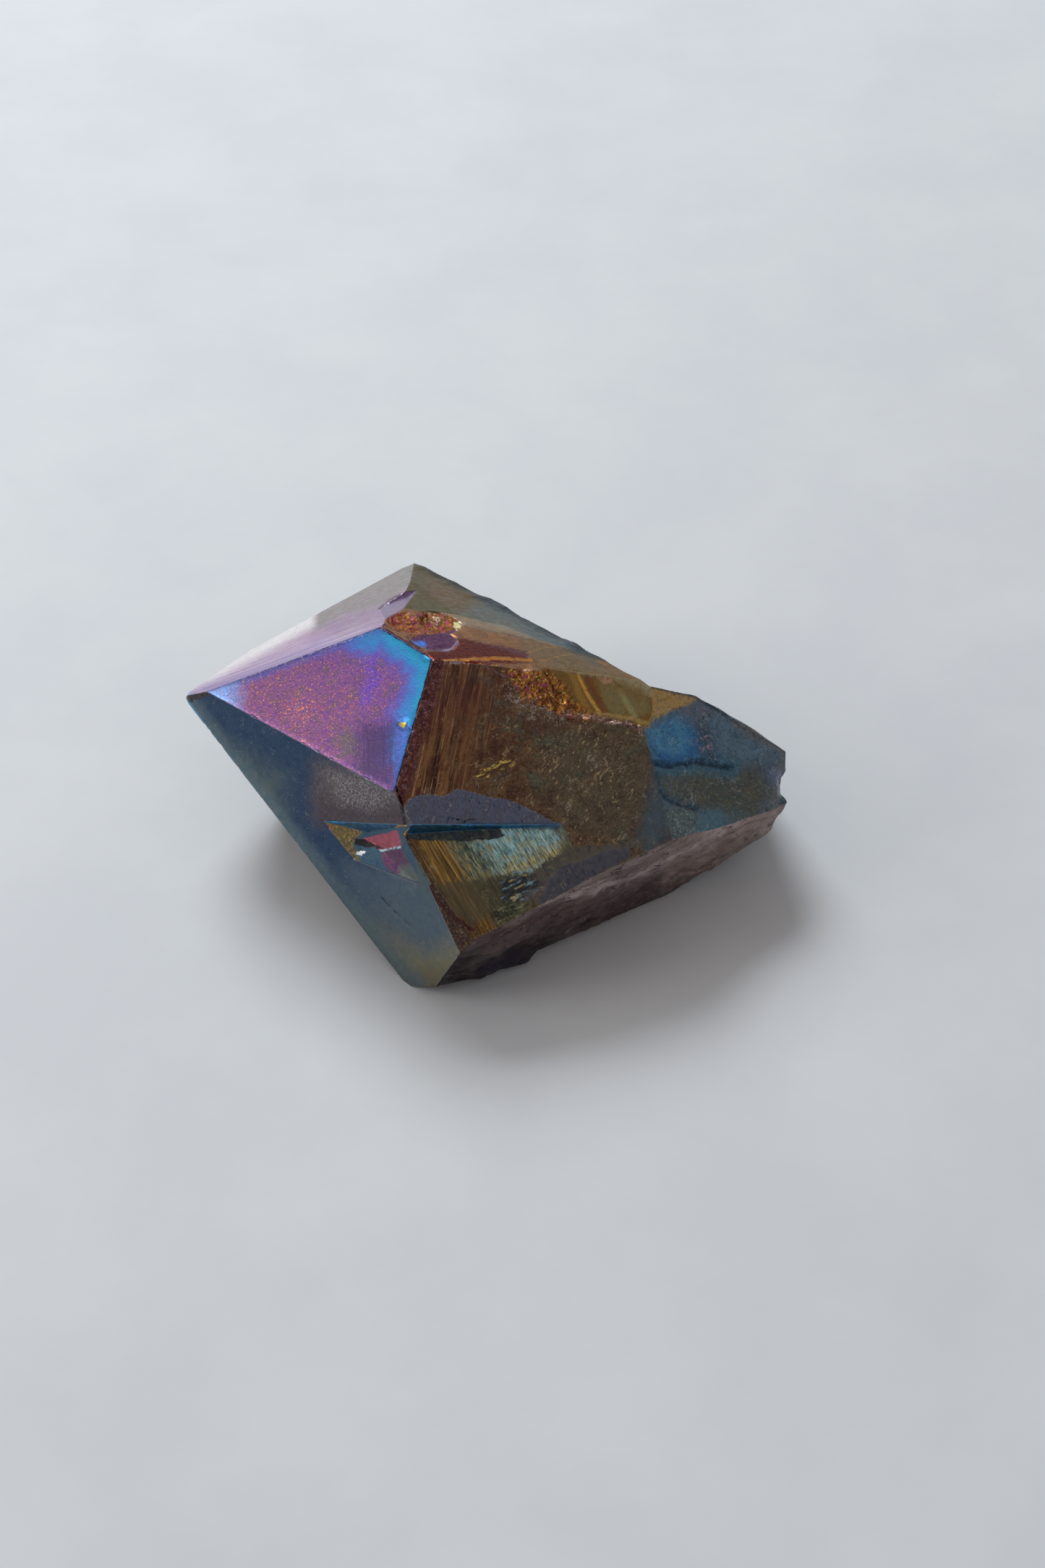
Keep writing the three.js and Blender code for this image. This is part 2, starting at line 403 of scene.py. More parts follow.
# ---- places in the photograph ----
# Outlines of coloured patches, cracks and folds, in the photograph's pixels.
UPPER_EDGE = ((531, 869), (547, 882), (571, 898), (588, 916), (596, 924))
PLATEAU_RIM = ((564, 1106), (581, 1099), (602, 1099), (613, 1102), (632, 1091), (655, 1096), (682, 1104),
               (698, 1104), (724, 1115), (742, 1124), (764, 1136))
PATCHES = {
    # on the left and back tip faces
    "glare": ((250, 958), (300, 918), (343, 893), (437, 832), (434, 866), (404, 882), (352, 910),
              (300, 937)),
    "grey_end": ((436, 830), (580, 770), (574, 800), (553, 822), (524, 841), (478, 850), (434, 874)),
    "mauve": ((440, 868), (500, 838), (524, 841), (570, 800), (575, 845), (530, 868), (470, 880)),
    # on the kite-shaped tip face
    "violet_band": ((511, 912), (520, 906), (525, 930), (516, 960), (503, 978), (499, 966), (508, 940)),
    "grey_spot": ((466, 1020), (480, 1008), (494, 1022), (490, 1044), (474, 1046)),
    "orange_glow": ((398, 985), (412, 968), (432, 966), (436, 982), (420, 994)),
    "blue_stripe": ((547, 1000), (584, 1004), (566, 1040), (550, 1092), (545, 1088)),
    "kite_low": ((500, 1000), (546, 1000), (545, 1092), (516, 1082), (490, 1068)),
    "yellow_chip": ((548, 1000), (563, 997), (558, 1007)),
    # on the lower tip face
    "speckled": ((436, 1050), (470, 1058), (548, 1092), (566, 1140), (440, 1134), (432, 1100)),
    "steel": ((470, 1190), (560, 1205), (640, 1290), (600, 1350), (540, 1310), (490, 1250)),
    "gold_notch": ((440, 1136), (478, 1140), (500, 1150), (488, 1168), (497, 1190), (484, 1200),
                   (462, 1176)),
    "coral": ((500, 1160), (550, 1148), (556, 1172), (529, 1177)),
    "purple_notch": ((508, 1184), (554, 1170), (584, 1222), (548, 1209)),
    "dark_sliver": ((489, 1160), (502, 1160), (531, 1173), (514, 1175), (491, 1167)),
    "sparkle": ((491, 1180), (498, 1176), (507, 1177), (500, 1183)),
    "green_corner": ((556, 1196), (582, 1190), (590, 1226), (548, 1214)),
    # on the front
    "red_corner": ((600, 922), (700, 930), (690, 980), (640, 1010), (590, 1000)),
    "low_brown": ((594, 1226), (640, 1216), (700, 1214), (712, 1236), (690, 1262), (650, 1280),
                  (620, 1256)),
    "plateau": ((550, 1142), *PLATEAU_RIM, (790, 1140), (700, 1146)),
    "teal_end": ((905, 1040), (930, 1100), (990, 1110), (900, 1180), (880, 1160), (896, 1110)),
    "sheen": ((660, 1146), (780, 1142), (786, 1160), (748, 1196), (716, 1216), (690, 1200), (656, 1160)),
    "gold_strip": ((556, 1150), (610, 1150), (640, 1200), (690, 1290), (652, 1300), (600, 1220)),
    "brown_zone": ((786, 1172), (850, 1166), (900, 1160), (868, 1176), (815, 1186), (776, 1198),
                   (756, 1218), (746, 1248), (724, 1246), (716, 1222), (740, 1202)),
    "grey_plate": ((746, 1248), (756, 1218), (776, 1198), (815, 1186), (838, 1177), (872, 1172),
                   (870, 1186), (809, 1218), (770, 1240), (751, 1252)),
    "blue_pit": ((692, 1216), (712, 1206), (738, 1212), (750, 1226), (730, 1238), (718, 1254), (704, 1256),
                 (694, 1240)),
    "green_bits": ((680, 1262), (696, 1246), (732, 1250), (722, 1262), (690, 1276)),
    "green_gold": ((556, 1150), (790, 1140), (786, 1186), (740, 1203), (712, 1212), (650, 1218),
                   (600, 1226)),
    "gold_glow": ((700, 1190), (784, 1162), (782, 1186), (740, 1203), (712, 1212), (690, 1206)),
    "grey_right": ((760, 1000), (890, 1010), (920, 1110), (860, 1170), (780, 1150), (740, 1080)),
    "glints": ((652, 1076), (662, 1064), (700, 1048), (720, 1052), (690, 1068), (662, 1078)),
    "bark_right": ((900, 1184), (1060, 1080), (1100, 1150), (1000, 1200), (920, 1226)),
    "olive_tip": ((520, 1290), (590, 1320), (640, 1300), (640, 1380), (560, 1380)),
    "brown_tip": ((560, 1345), (600, 1335), (625, 1335), (615, 1380), (570, 1380)),
    "dark_foot": ((440, 1100), (500, 1112), (560, 1118), (564, 1142), (440, 1138)),
    "pale_speckle": ((452, 1066), (500, 1074), (546, 1100), (520, 1122), (470, 1112)),
    "more_glints": ((745, 1040), (800, 1000), (850, 1020), (840, 1080), (800, 1110), (760, 1080)),
    "recess_end": ((766, 1138), (812, 1138), (812, 1192), (780, 1180)),
    "corner_chip": ((546, 1144), (556, 1137), (566, 1144), (560, 1156), (550, 1157)),
    "dark_corner": ((557, 1145), (690, 1145), (700, 1158), (640, 1164), (560, 1160)),
    # on the upper faces
    "teal_band": ((650, 812), (676, 822), (740, 862), (800, 888), (800, 900), (740, 880), (690, 846)),
    "grey_band": ((690, 835), (760, 866), (820, 896), (800, 910), (700, 866), (650, 850), (660, 838)),
    "red_band": ((590, 902), (612, 896), (638, 882), (652, 886), (700, 900), (726, 909), (745, 916),
                 (700, 918), (600, 920)),
    "gold_blotch": ((590, 800), (640, 822), (660, 836), (630, 842), (600, 826)),
    "gold_pits": ((702, 928), (740, 924), (764, 930), (782, 950), (800, 978), (822, 992), (806, 996),
                  (770, 984), (740, 974), (722, 960)),
    "grey_pits": ((700, 950), (720, 955), (760, 975), (780, 990), (720, 980), (703, 966)),
    "olive_fold": ((826, 935), (890, 950), (900, 985), (860, 990), (836, 986)),
    "olive_end": ((720, 884), (764, 886), (800, 900), (850, 925), (900, 950), (860, 960), (760, 924),
                  (728, 905)),
    "dark_fold": ((776, 898), (800, 896), (826, 908), (830, 922), (800, 908)),
    "upper_fold": ((740, 890), (800, 890), (900, 940), (960, 962), (960, 990), (900, 966), (862, 952),
                   (846, 938), (806, 933), (756, 923)),
    "pink_bit": ((828, 936), (848, 938), (846, 945), (830, 944)),
    "sparkles": ((627, 861), (634, 860), (638, 867), (632, 871), (627, 867)),
    "white_bits": ((588, 848), (604, 848), (612, 860), (600, 866), (590, 858)),
    "crescent": ((553, 884), (589, 877), (638, 871), (636, 892), (608, 906), (589, 903), (572, 894)),
    "cyan_bit": ((564, 886), (588, 886), (590, 894), (572, 894)),
    # on the broken end
    "gold_corner": ((884, 925), (910, 950), (945, 960), (966, 964), (952, 974), (925, 984), (905, 996),
                    (893, 1008), (882, 985)),
    "bark_low": ((619, 1362), (740, 1290), (857, 1240), (984, 1180), (1063, 1148), (984, 1206),
                 (910, 1246), (857, 1264), (820, 1279), (778, 1293), (738, 1312), (733, 1322), (714, 1330),
                 (666, 1338)),
    "dark_lump": ((640, 1364), (664, 1322), (700, 1306), (736, 1310), (730, 1326), (670, 1344)),
    "bark_top": ((643, 1291), (661, 1276), (735, 1245), (815, 1213), (889, 1174), (994, 1155),
                 (1074, 1107), (1060, 1116), (961, 1165), (875, 1208), (832, 1225), (742, 1248),
                 (683, 1265)),
    "blue_pool": ((895, 1011), (920, 998), (934, 990), (952, 991), (962, 1012), (966, 1034), (960, 1050),
                  (914, 1055), (900, 1036)),
    "pink_specks": ((964, 1000), (988, 1004), (990, 1050), (968, 1052)),
    "slate_top": ((960, 975), (1010, 1000), (1060, 1030), (1080, 1050), (1000, 1052), (965, 1050),
                  (975, 1010)),
    "plum": ((940, 988), (953, 972), (984, 970), (986, 986), (960, 996)),
    "olive_pool": ((912, 1060), (960, 1064), (1050, 1062), (1066, 1100), (1040, 1130), (1000, 1120),
                   (965, 1117), (925, 1106)),
    "slate_pool": ((884, 1100), (905, 1092), (922, 1110), (918, 1122), (892, 1150), (876, 1160)),
    "green_pool": ((880, 1166), (916, 1122), (944, 1118), (960, 1128), (956, 1152), (900, 1172)),
    "teal_facet": ((964, 1120), (1000, 1120), (1004, 1152), (962, 1156)),
    "plum_end": ((1062, 1064), (1084, 1060), (1080, 1090), (1066, 1086)),
}
LINES = {
    "skyline": ((582, 779), (611, 796), (659, 822), (700, 847), (756, 871), (793, 890), (839, 921),
                (896, 948), (963, 963), (1014, 999), (1049, 1021), (1082, 1034)),
    "apex": ((250, 958), (256, 956)),
    "apex_chip": ((262, 964), (284, 958)),
    "front_edge": ((286, 956), (362, 928), (435, 901), (531, 869)),
    "kite_rim": ((506, 876), *UPPER_EDGE, (590, 950), (576, 988), (562, 1036)),
    "kite_foot": ((576, 988), (562, 1039), (548, 1090)),
    "kite_tip": ((284, 952), (290, 962)),
    "navy_edge": ((286, 957), (353, 994), (417, 1031), (440, 1046), (440, 1134), (490, 1210)),
    "far_rim": ((253, 962), (299, 1028), (357, 1100), (430, 1190), (510, 1287), (574, 1363)),
    "step_line": ((524, 841), (540, 828), (553, 822)),
    "right_edge": ((600, 920), (592, 950), (584, 985), (570, 1018), (562, 1060), (552, 1090)),
    "pale_strip": ((615, 852), (640, 857), (700, 869), (763, 883)),
    "gold_line": ((610, 914), (690, 910), (735, 913)),
    "broken_line": ((606, 918), (650, 915), (690, 918), (739, 921), (748, 916)),
    "pit_rim": ((782, 986), (814, 991), (844, 996), (872, 1001), (894, 1013)),
    "crack": ((548, 1089), (556, 1112), (561, 1139)),
    "plateau_rim": PLATEAU_RIM,
    "dark_crack": ((622, 1130), (642, 1136), (660, 1132)),
    "ledge_line": ((640, 1141), (700, 1142), (770, 1143)),
    "small_crack": ((527, 1241), (547, 1262), (567, 1279)),
    "red_seam": ((561, 1155), (578, 1201), (588, 1223), (621, 1263), (653, 1286)),
    "sparkle_line": ((492, 1181), (505, 1179), (530, 1176), (554, 1171)),
    "chip_line": ((560, 1004), (580, 1014), (600, 1021)),
    "bark_ridge": ((683, 1265), (742, 1248), (832, 1225), (875, 1208), (961, 1165), (1060, 1110)),
    "pool_side": ((968, 1004), (966, 1034), (958, 1052), (912, 1056)),
    "end_rim": ((1014, 999), (1049, 1021), (1082, 1034), (1087, 1046), (1077, 1082), (1067, 1137)),
    "pool_crease": ((900, 1052), (930, 1058), (965, 1052), (1010, 1060)),
    "scallop": ((908, 1070), (912, 1090), (921, 1104), (965, 1117)),
    "end_bite": ((1086, 1080), (1088, 1094)),
    "crescent_rim": ((600, 903), (622, 899), (634, 886), (637, 874)),
    "upper_edge": UPPER_EDGE,
    "notch_rim": ((453, 1144), (462, 1172), (482, 1198)),
    "top_dark": ((640, 862), (698, 876), (731, 884), (763, 887)),
    "purple_line": ((606, 893), (640, 890), (690, 898), (725, 906)),
    "violet_curve": ((668, 920), (700, 936), (712, 942), (722, 953)),
    "fold_line": ((726, 903), (743, 897), (770, 894)),
    "fold_line_two": ((745, 915), (780, 906), (800, 904), (840, 918)),
    "fold_gold": ((799, 933), (812, 960), (829, 986)),
    "fold_gold_left": ((790, 930), (800, 958), (816, 988)),
    "fold_dark": ((812, 938), (824, 962), (838, 984)),
    "fold_foot": ((822, 988), (856, 990), (880, 996), (896, 1000)),
    "fold_gold_two": ((858, 955), (868, 975), (878, 990)),
    "fold_top": ((743, 918), (756, 924), (783, 928), (806, 934), (846, 940), (862, 953), (900, 966)),
}


def to_pixels(points):
    """Where the photograph shows points of the part."""
    offset = points - np.array(CAMERA_PLACE)
    depth = -(offset @ TOWARDS_CAMERA)
    return np.stack([IMAGE_WIDTH / 2 + FOCAL * offset[:, 0] / depth,
                     IMAGE_HEIGHT / 2 - FOCAL * (offset @ CAMERA_UP) / depth], 1)


def outline_distance(pixels, outline, closed):
    """Millimetres to an outline drawn on the photograph: above 0 inside a closed one."""
    starts = np.array(outline, float)
    ends = np.roll(starts, -1, axis=0)
    if not closed:
        starts, ends = starts[:-1], ends[:-1]
    distance = segment_distances(pixels, starts, ends) / PIXELS_PER_MM
    if not closed:
        return distance
    return np.where(inside(pixels, starts, ends), distance, -distance)


# ---- kinds of surface: each one's faces, the height of its striae, and its grains ----
# A grain is a size and a height in mm, and a seed. Bark and slate have functions of their own.
POLISHED = ((2.2, 0.012, 36),)
WAVY = ((3.5, 0.02, 33),)
WORN = ((0.7, 0.07, 47),)
ZONES = {
    "pearl": (("tip_back",), 0, POLISHED),
    "step": (("step", "step_wall"), 0, POLISHED),
    "kite": (("tip_front",), 0, POLISHED),
    "navy": (("tip_lower",), 0, POLISHED),
    "bronze": (("prism_front",), 0.014, WAVY),
    "gilt": (("recess",), 0.014, WAVY),
    "ledge": (("recess_ledge", "notch_ledge"), 0, ((0.8, 0.03, 50),)),
    "olive": (("prism_top", "peak_bevel"), 0.014, WAVY),
    "copper": (("top_bevel",), 0.014, WAVY),
    "fold": (("shoulder", "shoulder_rim", "shoulder_wall"), 0.03, ((1.3, 0.05, 44),)),
    "bark": (("undercut", "undercut_end", "low_corner"), 0, ()),
    "slate": (("broken_end", "end_top", "end_wall", "end_underside"), 0, ()),
    "back": (("back_break", "back_shoulder", "prism_rear", "tip_rear", "tip_under", "tip_hidden"), 0,
             ((2.4, 0.34, 41), (0.8, 0.1, 42))),
    "chip": ((), 0, ((0.6, 0.34, 47),)),
    "notch": (("notch_left", "notch_right", "notch_front"), 0, WORN),
    "wear": (("wear", "wear_end"), 0, WORN),
    "under": (("prism_base",), 0, ((3.0, 0.01, 53),)),
}
ZONE_NAMES = list(ZONES)
ZONE_OF_FACE = {face: ZONE_NAMES.index(zone) for zone, row in ZONES.items() for face in row[0]}


def zone_of(normal, area, centre):
    """The kind of surface of one flat group, from its direction or else from its place."""
    name = face_name(normal)
    x, y, _ = centre
    if name and (area > FLAT_AREA or (x < 0 and name in ("step_wall", "wear_end"))):
        return ZONE_OF_FACE[name]
    if x > END_FROM:
        return ZONE_NAMES.index("slate")
    if y > BACK_FROM:
        return ZONE_NAMES.index("back")
    return ZONE_NAMES.index("fold" if x > FOLD_FROM else "chip")


def zones_of_groups(points, triangles, normals, areas, labels):
    """The kind of surface of each flat group."""
    zones = np.zeros(labels.max() + 1, int)
    for group in range(labels.max() + 1):
        own = np.flatnonzero(labels == group)
        share = areas[own] / areas[own].sum()
        centre = share @ points[triangles[own]].mean(1)
        zones[group] = zone_of(normals[own[0]], areas[own].sum(), centre)
    return zones


def creases(points, triangles, labels, normals, areas, edges, owners):
    """The solid's folds: their end points and whether each stands out."""
    size = np.bincount(labels, areas)
    small = size[labels[owners]].max(1) < FLAT_AREA
    turn = np.degrees(np.arccos(np.clip((normals[owners[:, 0]] * normals[owners[:, 1]]).sum(1), -1, 1)))
    folded = turn > np.where(small, SMALL_CREASE_ANGLE, CREASE_ANGLE)
    centres = points[triangles].mean(1)
    out = ((centres[owners[:, 1]] - centres[owners[:, 0]]) * normals[owners[:, 0]]).sum(1) < 0
    return edges[folded], out[folded]


def line_distance(places, starts, ends, cap):
    """Distance in space to the nearest of some segments, up to a cap."""
    found = []
    for start, end in zip(starts, ends):
        count = 1 + math.ceil(np.linalg.norm(end - start) / LINE_SAMPLE)
        found.append(start + (end - start) * np.linspace(0, 1, count)[:, None])
    samples = np.concatenate(found)
    tree = KDTree(len(samples))
    for index, sample in enumerate(samples):
        tree.insert(sample, index)
    tree.balance()
    distance = np.array([tree.find(place)[2] for place in places])
    return np.minimum(np.sqrt(np.maximum(distance**2 - (LINE_SAMPLE / 4) ** 2, 0)), cap)


def spread(values, pairs, rounds):
    """Averages values with those of their neighbours, some rounds over."""
    a, b = pairs.T
    count = len(values)
    links = np.bincount(pairs.ravel(), minlength=count)
    columns = values.reshape(count, -1)
    for _ in range(rounds):
        near = [np.bincount(a, c[b], count) + np.bincount(b, c[a], count) for c in columns.T]
        columns = (columns + np.stack(near, 1) / links[:, None]) / 2
    return columns.reshape(values.shape)


# ---- relief ----
def rough_bark(c):
    """Long ridges and lumps on the broken underside."""
    along = unit(BARK_GRAIN) @ LYING
    places = c - np.outer(c @ along, along) * 0.7
    ridges = 1 - 2 * np.abs(layered_noise(places * 0.6, 3, 11))
    return 0.3 * ridges + 0.45 * layered_noise(c * 0.45, 3, 15) + 0.16 * layered_noise(c * 1.5, 3, 19)


def shell_break(c):
    """The curved, rippled break at the blunt end."""
    warped = c + 0.8 * np.stack([noise(c * 0.4, 21), noise(c * 0.4, 22), noise(c * 0.4, 23)], 1)
    hollows = np.abs(noise(warped * 0.3, 24))
    ripples = np.sin(9 * warped @ unit((0.6, 0.5, 0.62)) + 3 * hollows)
    return 0.22 * hollows + 0.012 * ripples + 0.05 * layered_noise(c * 0.9, 3, 25) - 0.05


def relief(zone, c):
    """How far a kind of surface stands out or in at crystal places c."""
    if zone == "bark":
        return rough_bark(c)
    if zone == "slate":
        return shell_break(c)
    _, striae_height, grains = ZONES[zone]
    striae = noise(c * (0.08, 0.08, 1.9), 31) + 0.5 * noise(c * (0.1, 0.1, 3.6), 32)
    grain = sum(height * layered_noise(c / size, 3, seed) for size, height, seed in grains)
    return striae_height * striae + grain


# Rough ground: height, size, seed, and where it begins and where it is full, in mm into a patch
# or from a line.
ROUGH = {
    "gold_pits": (0.32, 0.7, 71, -0.3, 0.4),
    "grey_pits": (0.2, 0.6, 72, -0.3, 0.4),
    "right_edge": (0.16, 0.6, 73, 1.2, 0.4),
    "pit_rim": (0.22, 0.5, 74, 0.7, 0.2),
    "green_bits": (0.16, 0.5, 75, -0.3, 0.4),
    "broken_line": (0.1, 0.4, 76, 0.4, 0.1),
    "bark_low": (0.6, 2.2, 77, -0.4, 0.8),
}
# Plates, lumps and hollows: height and half the width of their border.
RAISED = {
    "plateau": (0.07, 0.12), "grey_plate": (0.07, 0.12), "dark_lump": (0.5, 0.9),
    "blue_pit": (-0.14, 0.3), "yellow_chip": (-0.12, 0.1), "blue_pool": (-0.16, 0.8),
    "olive_pool": (-0.12, 0.9),
}
# Grooves: depth and half width.
GROOVES = {
    "crack": (0.12, 0.14), "small_crack": (0.05, 0.12), "dark_crack": (0.06, 0.14),
    "step_line": (0.08, 0.15), "chip_line": (0.05, 0.12), "pool_crease": (0.25, 0.5),
    "scallop": (0.15, 0.4), "end_bite": (0.6, 0.9),
}


def patch_relief(fields, crystal, on_front):
    """Relief of the patches and lines. The right edge is rough only on the front face."""
    height = np.zeros(len(crystal))
    for name, (lift, size, seed, low, high) in ROUGH.items():
        share = rise(fields[name], low, high) * (on_front if name == "right_edge" else 1)
        height += lift * share * layered_noise(crystal / size, 3, seed)
    for name, (lift, soft) in RAISED.items():
        height += lift * rise(fields[name], -soft, soft)
    for name, (depth, width) in GROOVES.items():
        height -= depth * (1 - rise(fields[name], 0, width))
    return height


# ---- materials ----
# What each new noise is shifted by, and the range that noise mostly keeps to.
NOISE_SHIFT = (0.0137, 0.0211, 0.0173)
NOISE_LOW, NOISE_HIGH = 0.3, 0.7


def linear(colour):
    """Linear red, green and blue of an sRGB colour written as 0xRRGGBB."""
    c = np.array([colour >> 16, colour >> 8 & 0xFF, colour & 0xFF]) / 255
    c = np.where(c <= 0.04045, c / 12.92, ((c + 0.055) / 1.055) ** 2.4)
    return [float(value) for value in c]


class Paint:
    """One material, built up in layers over the shader's base colour.

    Its roughness is one value, or a lowest and a highest one with noise between them.
    """

    def __init__(self, name, metallic=0.9, roughness=0.3, specular=0.3, gain=1.8, rough_size=0.6):
        self.gain, self.roughness, self.rough_size = gain, roughness, rough_size
        self.material = bpy.data.materials.new(name)
        self.material.use_nodes = True
        self.tree = self.material.node_tree
        self.shader = self.tree.nodes["Principled BSDF"]
        self.shader.inputs["Metallic"].default_value = metallic
        self.shader.inputs["Specular IOR Level"].default_value = specular
        self.colour = None
        self.height = None
        self.seed = 0
        self.places = self.node("ShaderNodeTexCoord").outputs["Object"]

    def node(self, kind, inputs=None, **settings):
        """A new shader node."""
        node = self.tree.nodes.new(kind)
        for key, value in settings.items():
            setattr(node, key, value)
        for key, value in (inputs or {}).items():
            self.feed(node.inputs[key], value)
        return node

    def feed(self, socket, value):
        """Links an output to a socket, or sets the socket's value."""
        if isinstance(value, bpy.types.NodeSocket):
            self.tree.links.new(value, socket)
        else:
            socket.default_value = value

    def maths(self, operation, *values):
        node = self.node("ShaderNodeMath", operation=operation)
        for socket, value in zip(node.inputs, values):
            self.feed(socket, value)
        return node.outputs[0]

    def grain(self, size, direction=None, stretch=1):
        """Places measured in grains of a size in mm, drawn out along a direction of the part."""
        self.seed += 1
        sizes = [size * MM * stretch, size * MM, size * MM]
        turn = (0, 0, 0)
        if direction is not None:
            turn = Vector(direction).to_track_quat("X", "Z").to_euler()
        shift = [step * self.seed for step in NOISE_SHIFT]
        inputs = {"Vector": self.places, "Location": shift, "Rotation": turn, "Scale": sizes}
        return self.node("ShaderNodeMapping", inputs, vector_type="TEXTURE").outputs[0]

    def noise(self, size, detail=3, direction=None, stretch=1, roughness=0.55):
        """Noise from 0 to 1."""
        inputs = {"Vector": self.grain(size, direction, stretch), "Scale": 1.0, "Detail": detail,
                  "Roughness": roughness}
        return self.node("ShaderNodeTexNoise", inputs).outputs[0]

    def field(self, name):
        """A distance in mm that the mesh holds."""
        return self.node("ShaderNodeAttribute", attribute_name=name).outputs["Fac"]

    def step(self, value, low, high, smooth=True):
        """0 at low and 1 at high."""
        inputs = {"Value": value, "From Min": low, "From Max": high}
        kind = "SMOOTHSTEP" if smooth else "LINEAR"
        return self.node("ShaderNodeMapRange", inputs, interpolation_type=kind).outputs[0]

    def wobbled(self, name, ragged, size):
        """A distance with a ragged edge."""
        wobble = self.maths("SUBTRACT", self.noise(size, 4, roughness=0.65), 0.5)
        return self.maths("MULTIPLY_ADD", wobble, 4 * ragged, self.field(name))

    def within(self, name, soft=0.05, ragged=0.1, size=0.4):
        """1 inside a patch, with a soft or ragged border."""
        return self.step(self.wobbled(name, ragged, size), -soft, soft)

    def beside(self, name, near, far, ragged=0.1, size=0.4):
        """1 along a line, fading out between two distances."""
        return self.step(self.wobbled(name, ragged, size), far, near)

    def both(self, *masks):
        """Where all of some masks are."""
        total = masks[0]
        for mask in masks[1:]:
            total = self.maths("MULTIPLY", total, mask)
        return total

    def tone(self, colour):
        """The base colour that shows as a colour in this light."""
        return (*(min(value * self.gain, 1.0) for value in linear(colour)), 1.0)

    def ramp(self, value, *stops):
        """Colours at places from 0 to 1."""
        node = self.node("ShaderNodeValToRGB", {"Fac": value})
        elements = node.color_ramp.elements
        while len(elements) < len(stops):
            elements.new(0.5)
        for element, (place, colour) in zip(elements, stops):
            element.position = place
            element.color = self.tone(colour)
        return node.outputs["Color"]

    def mottle(self, size, *colours, direction=None, stretch=1, detail=4, roughness=0.6,
               low=NOISE_LOW, high=NOISE_HIGH):
        """Colours spread by noise, in even steps."""
        value = self.noise(size, detail, direction, stretch, roughness)
        value = self.step(value, low, high, False)
        stops = [(k / (len(colours) - 1), colour) for k, colour in enumerate(colours)]
        return self.ramp(value, *stops)

    def lay(self, colour, mask=1.0, amount=1.0, where=None):
        """Lays a colour over what is there, by a mask, an amount and a second mask."""
        if not isinstance(colour, bpy.types.NodeSocket):
            colour = self.tone(colour)
        if self.colour is None:
            self.colour = colour
            return
        if amount != 1:
            mask = self.maths("MULTIPLY", mask, amount)
        node = self.node("ShaderNodeMix", data_type="RGBA")
        self.feed(node.inputs[0], mask if where is None else self.both(mask, where))
        self.feed(node.inputs[6], self.colour)
        self.feed(node.inputs[7], colour)
        self.colour = node.outputs[2]

    def fill(self, colour, name, soft=0.05, ragged=0.1, amount=1.0, size=0.4):
        """Lays a colour within a patch."""
        self.lay(colour, self.within(name, soft, ragged, size), amount)

    def draw(self, colour, name, near, far, ragged=0.1, amount=1.0, size=0.4):
        """Lays a colour along a line."""
        self.lay(colour, self.beside(name, near, far, ragged, size), amount)

    def spots(self, colour, size, low, high, amount=1.0, where=None, detail=4, **more):
        """Lays a colour where a noise rises from one level to another."""
        self.lay(colour, self.step(self.noise(size, detail, **more), low, high), amount, where)

    def specks(self, size, detail, dark, light, where=None, roughness=0.8):
        """Fine dark and light specks: for each a colour, two levels of the noise and an amount."""
        fine = self.noise(size, detail, roughness=roughness)
        for colour, low, high, amount in (dark, light):
            self.lay(colour, self.step(fine, low, high), amount, where)

    def threads(self, line, gaps, width, inner, share):
        """1 on the thin lines where a noise crosses its middle, broken up by the gaps of another."""
        line = self.maths("ABSOLUTE", self.maths("SUBTRACT", line, 0.5))
        return self.both(self.step(line, width, inner * width),
                         self.step(gaps, 0.62 - 0.24 * share, 0.7 - 0.24 * share))

    def scratches(self, colour, size, length, direction, amount, share, width=0.02):
        """Thin broken lines that run along a direction."""
        lines = self.noise(size, 2, direction, length)
        gaps = self.noise(size * 2.5, 2, direction, 1.6)
        self.lay(colour, self.threads(lines, gaps, width, 0.2, share), amount)

    def filaments(self, colour, size, amount, where=None, width=0.012, share=0.5, direction=None,
                  stretch=1):
        """A broken web of crinkled hair-thin lines."""
        lines = self.noise(size, 6, direction, stretch)
        gaps = self.noise(size * 1.1, 3)
        self.lay(colour, self.threads(lines, gaps, width, 0.3, share), amount, where)

    def flakes(self, colour, size, share, amount, where=None):
        """Small separate flecks of a colour, on a share of the cells of a broken pattern."""
        places = self.grain(size)
        bend = self.node("ShaderNodeTexNoise", {"Vector": places, "Scale": 1.7, "Detail": 2.0})
        bent = self.node("ShaderNodeMix", {"Factor": 0.45}, data_type="VECTOR")
        self.feed(bent.inputs[4], places)
        shifted = self.node("ShaderNodeVectorMath", {0: places, 1: bend.outputs["Color"]}, operation="ADD")
        self.feed(bent.inputs[5], shifted.outputs[0])
        cells = self.node("ShaderNodeTexVoronoi", {"Vector": bent.outputs[1], "Scale": 1.0})
        chance = self.node("ShaderNodeSeparateColor", {0: cells.outputs["Color"]}).outputs[0]
        mask = self.both(self.step(chance, 0.99 - share, 1.01 - share, False),
                         self.step(cells.outputs["Distance"], 0.55, 0.35))
        self.lay(colour, mask, amount, where)

    def raise_by(self, value, height):
        """Adds a fine relief, given in mm."""
        part = self.maths("MULTIPLY", value, height)
        self.height = part if self.height is None else self.maths("ADD", self.height, part)

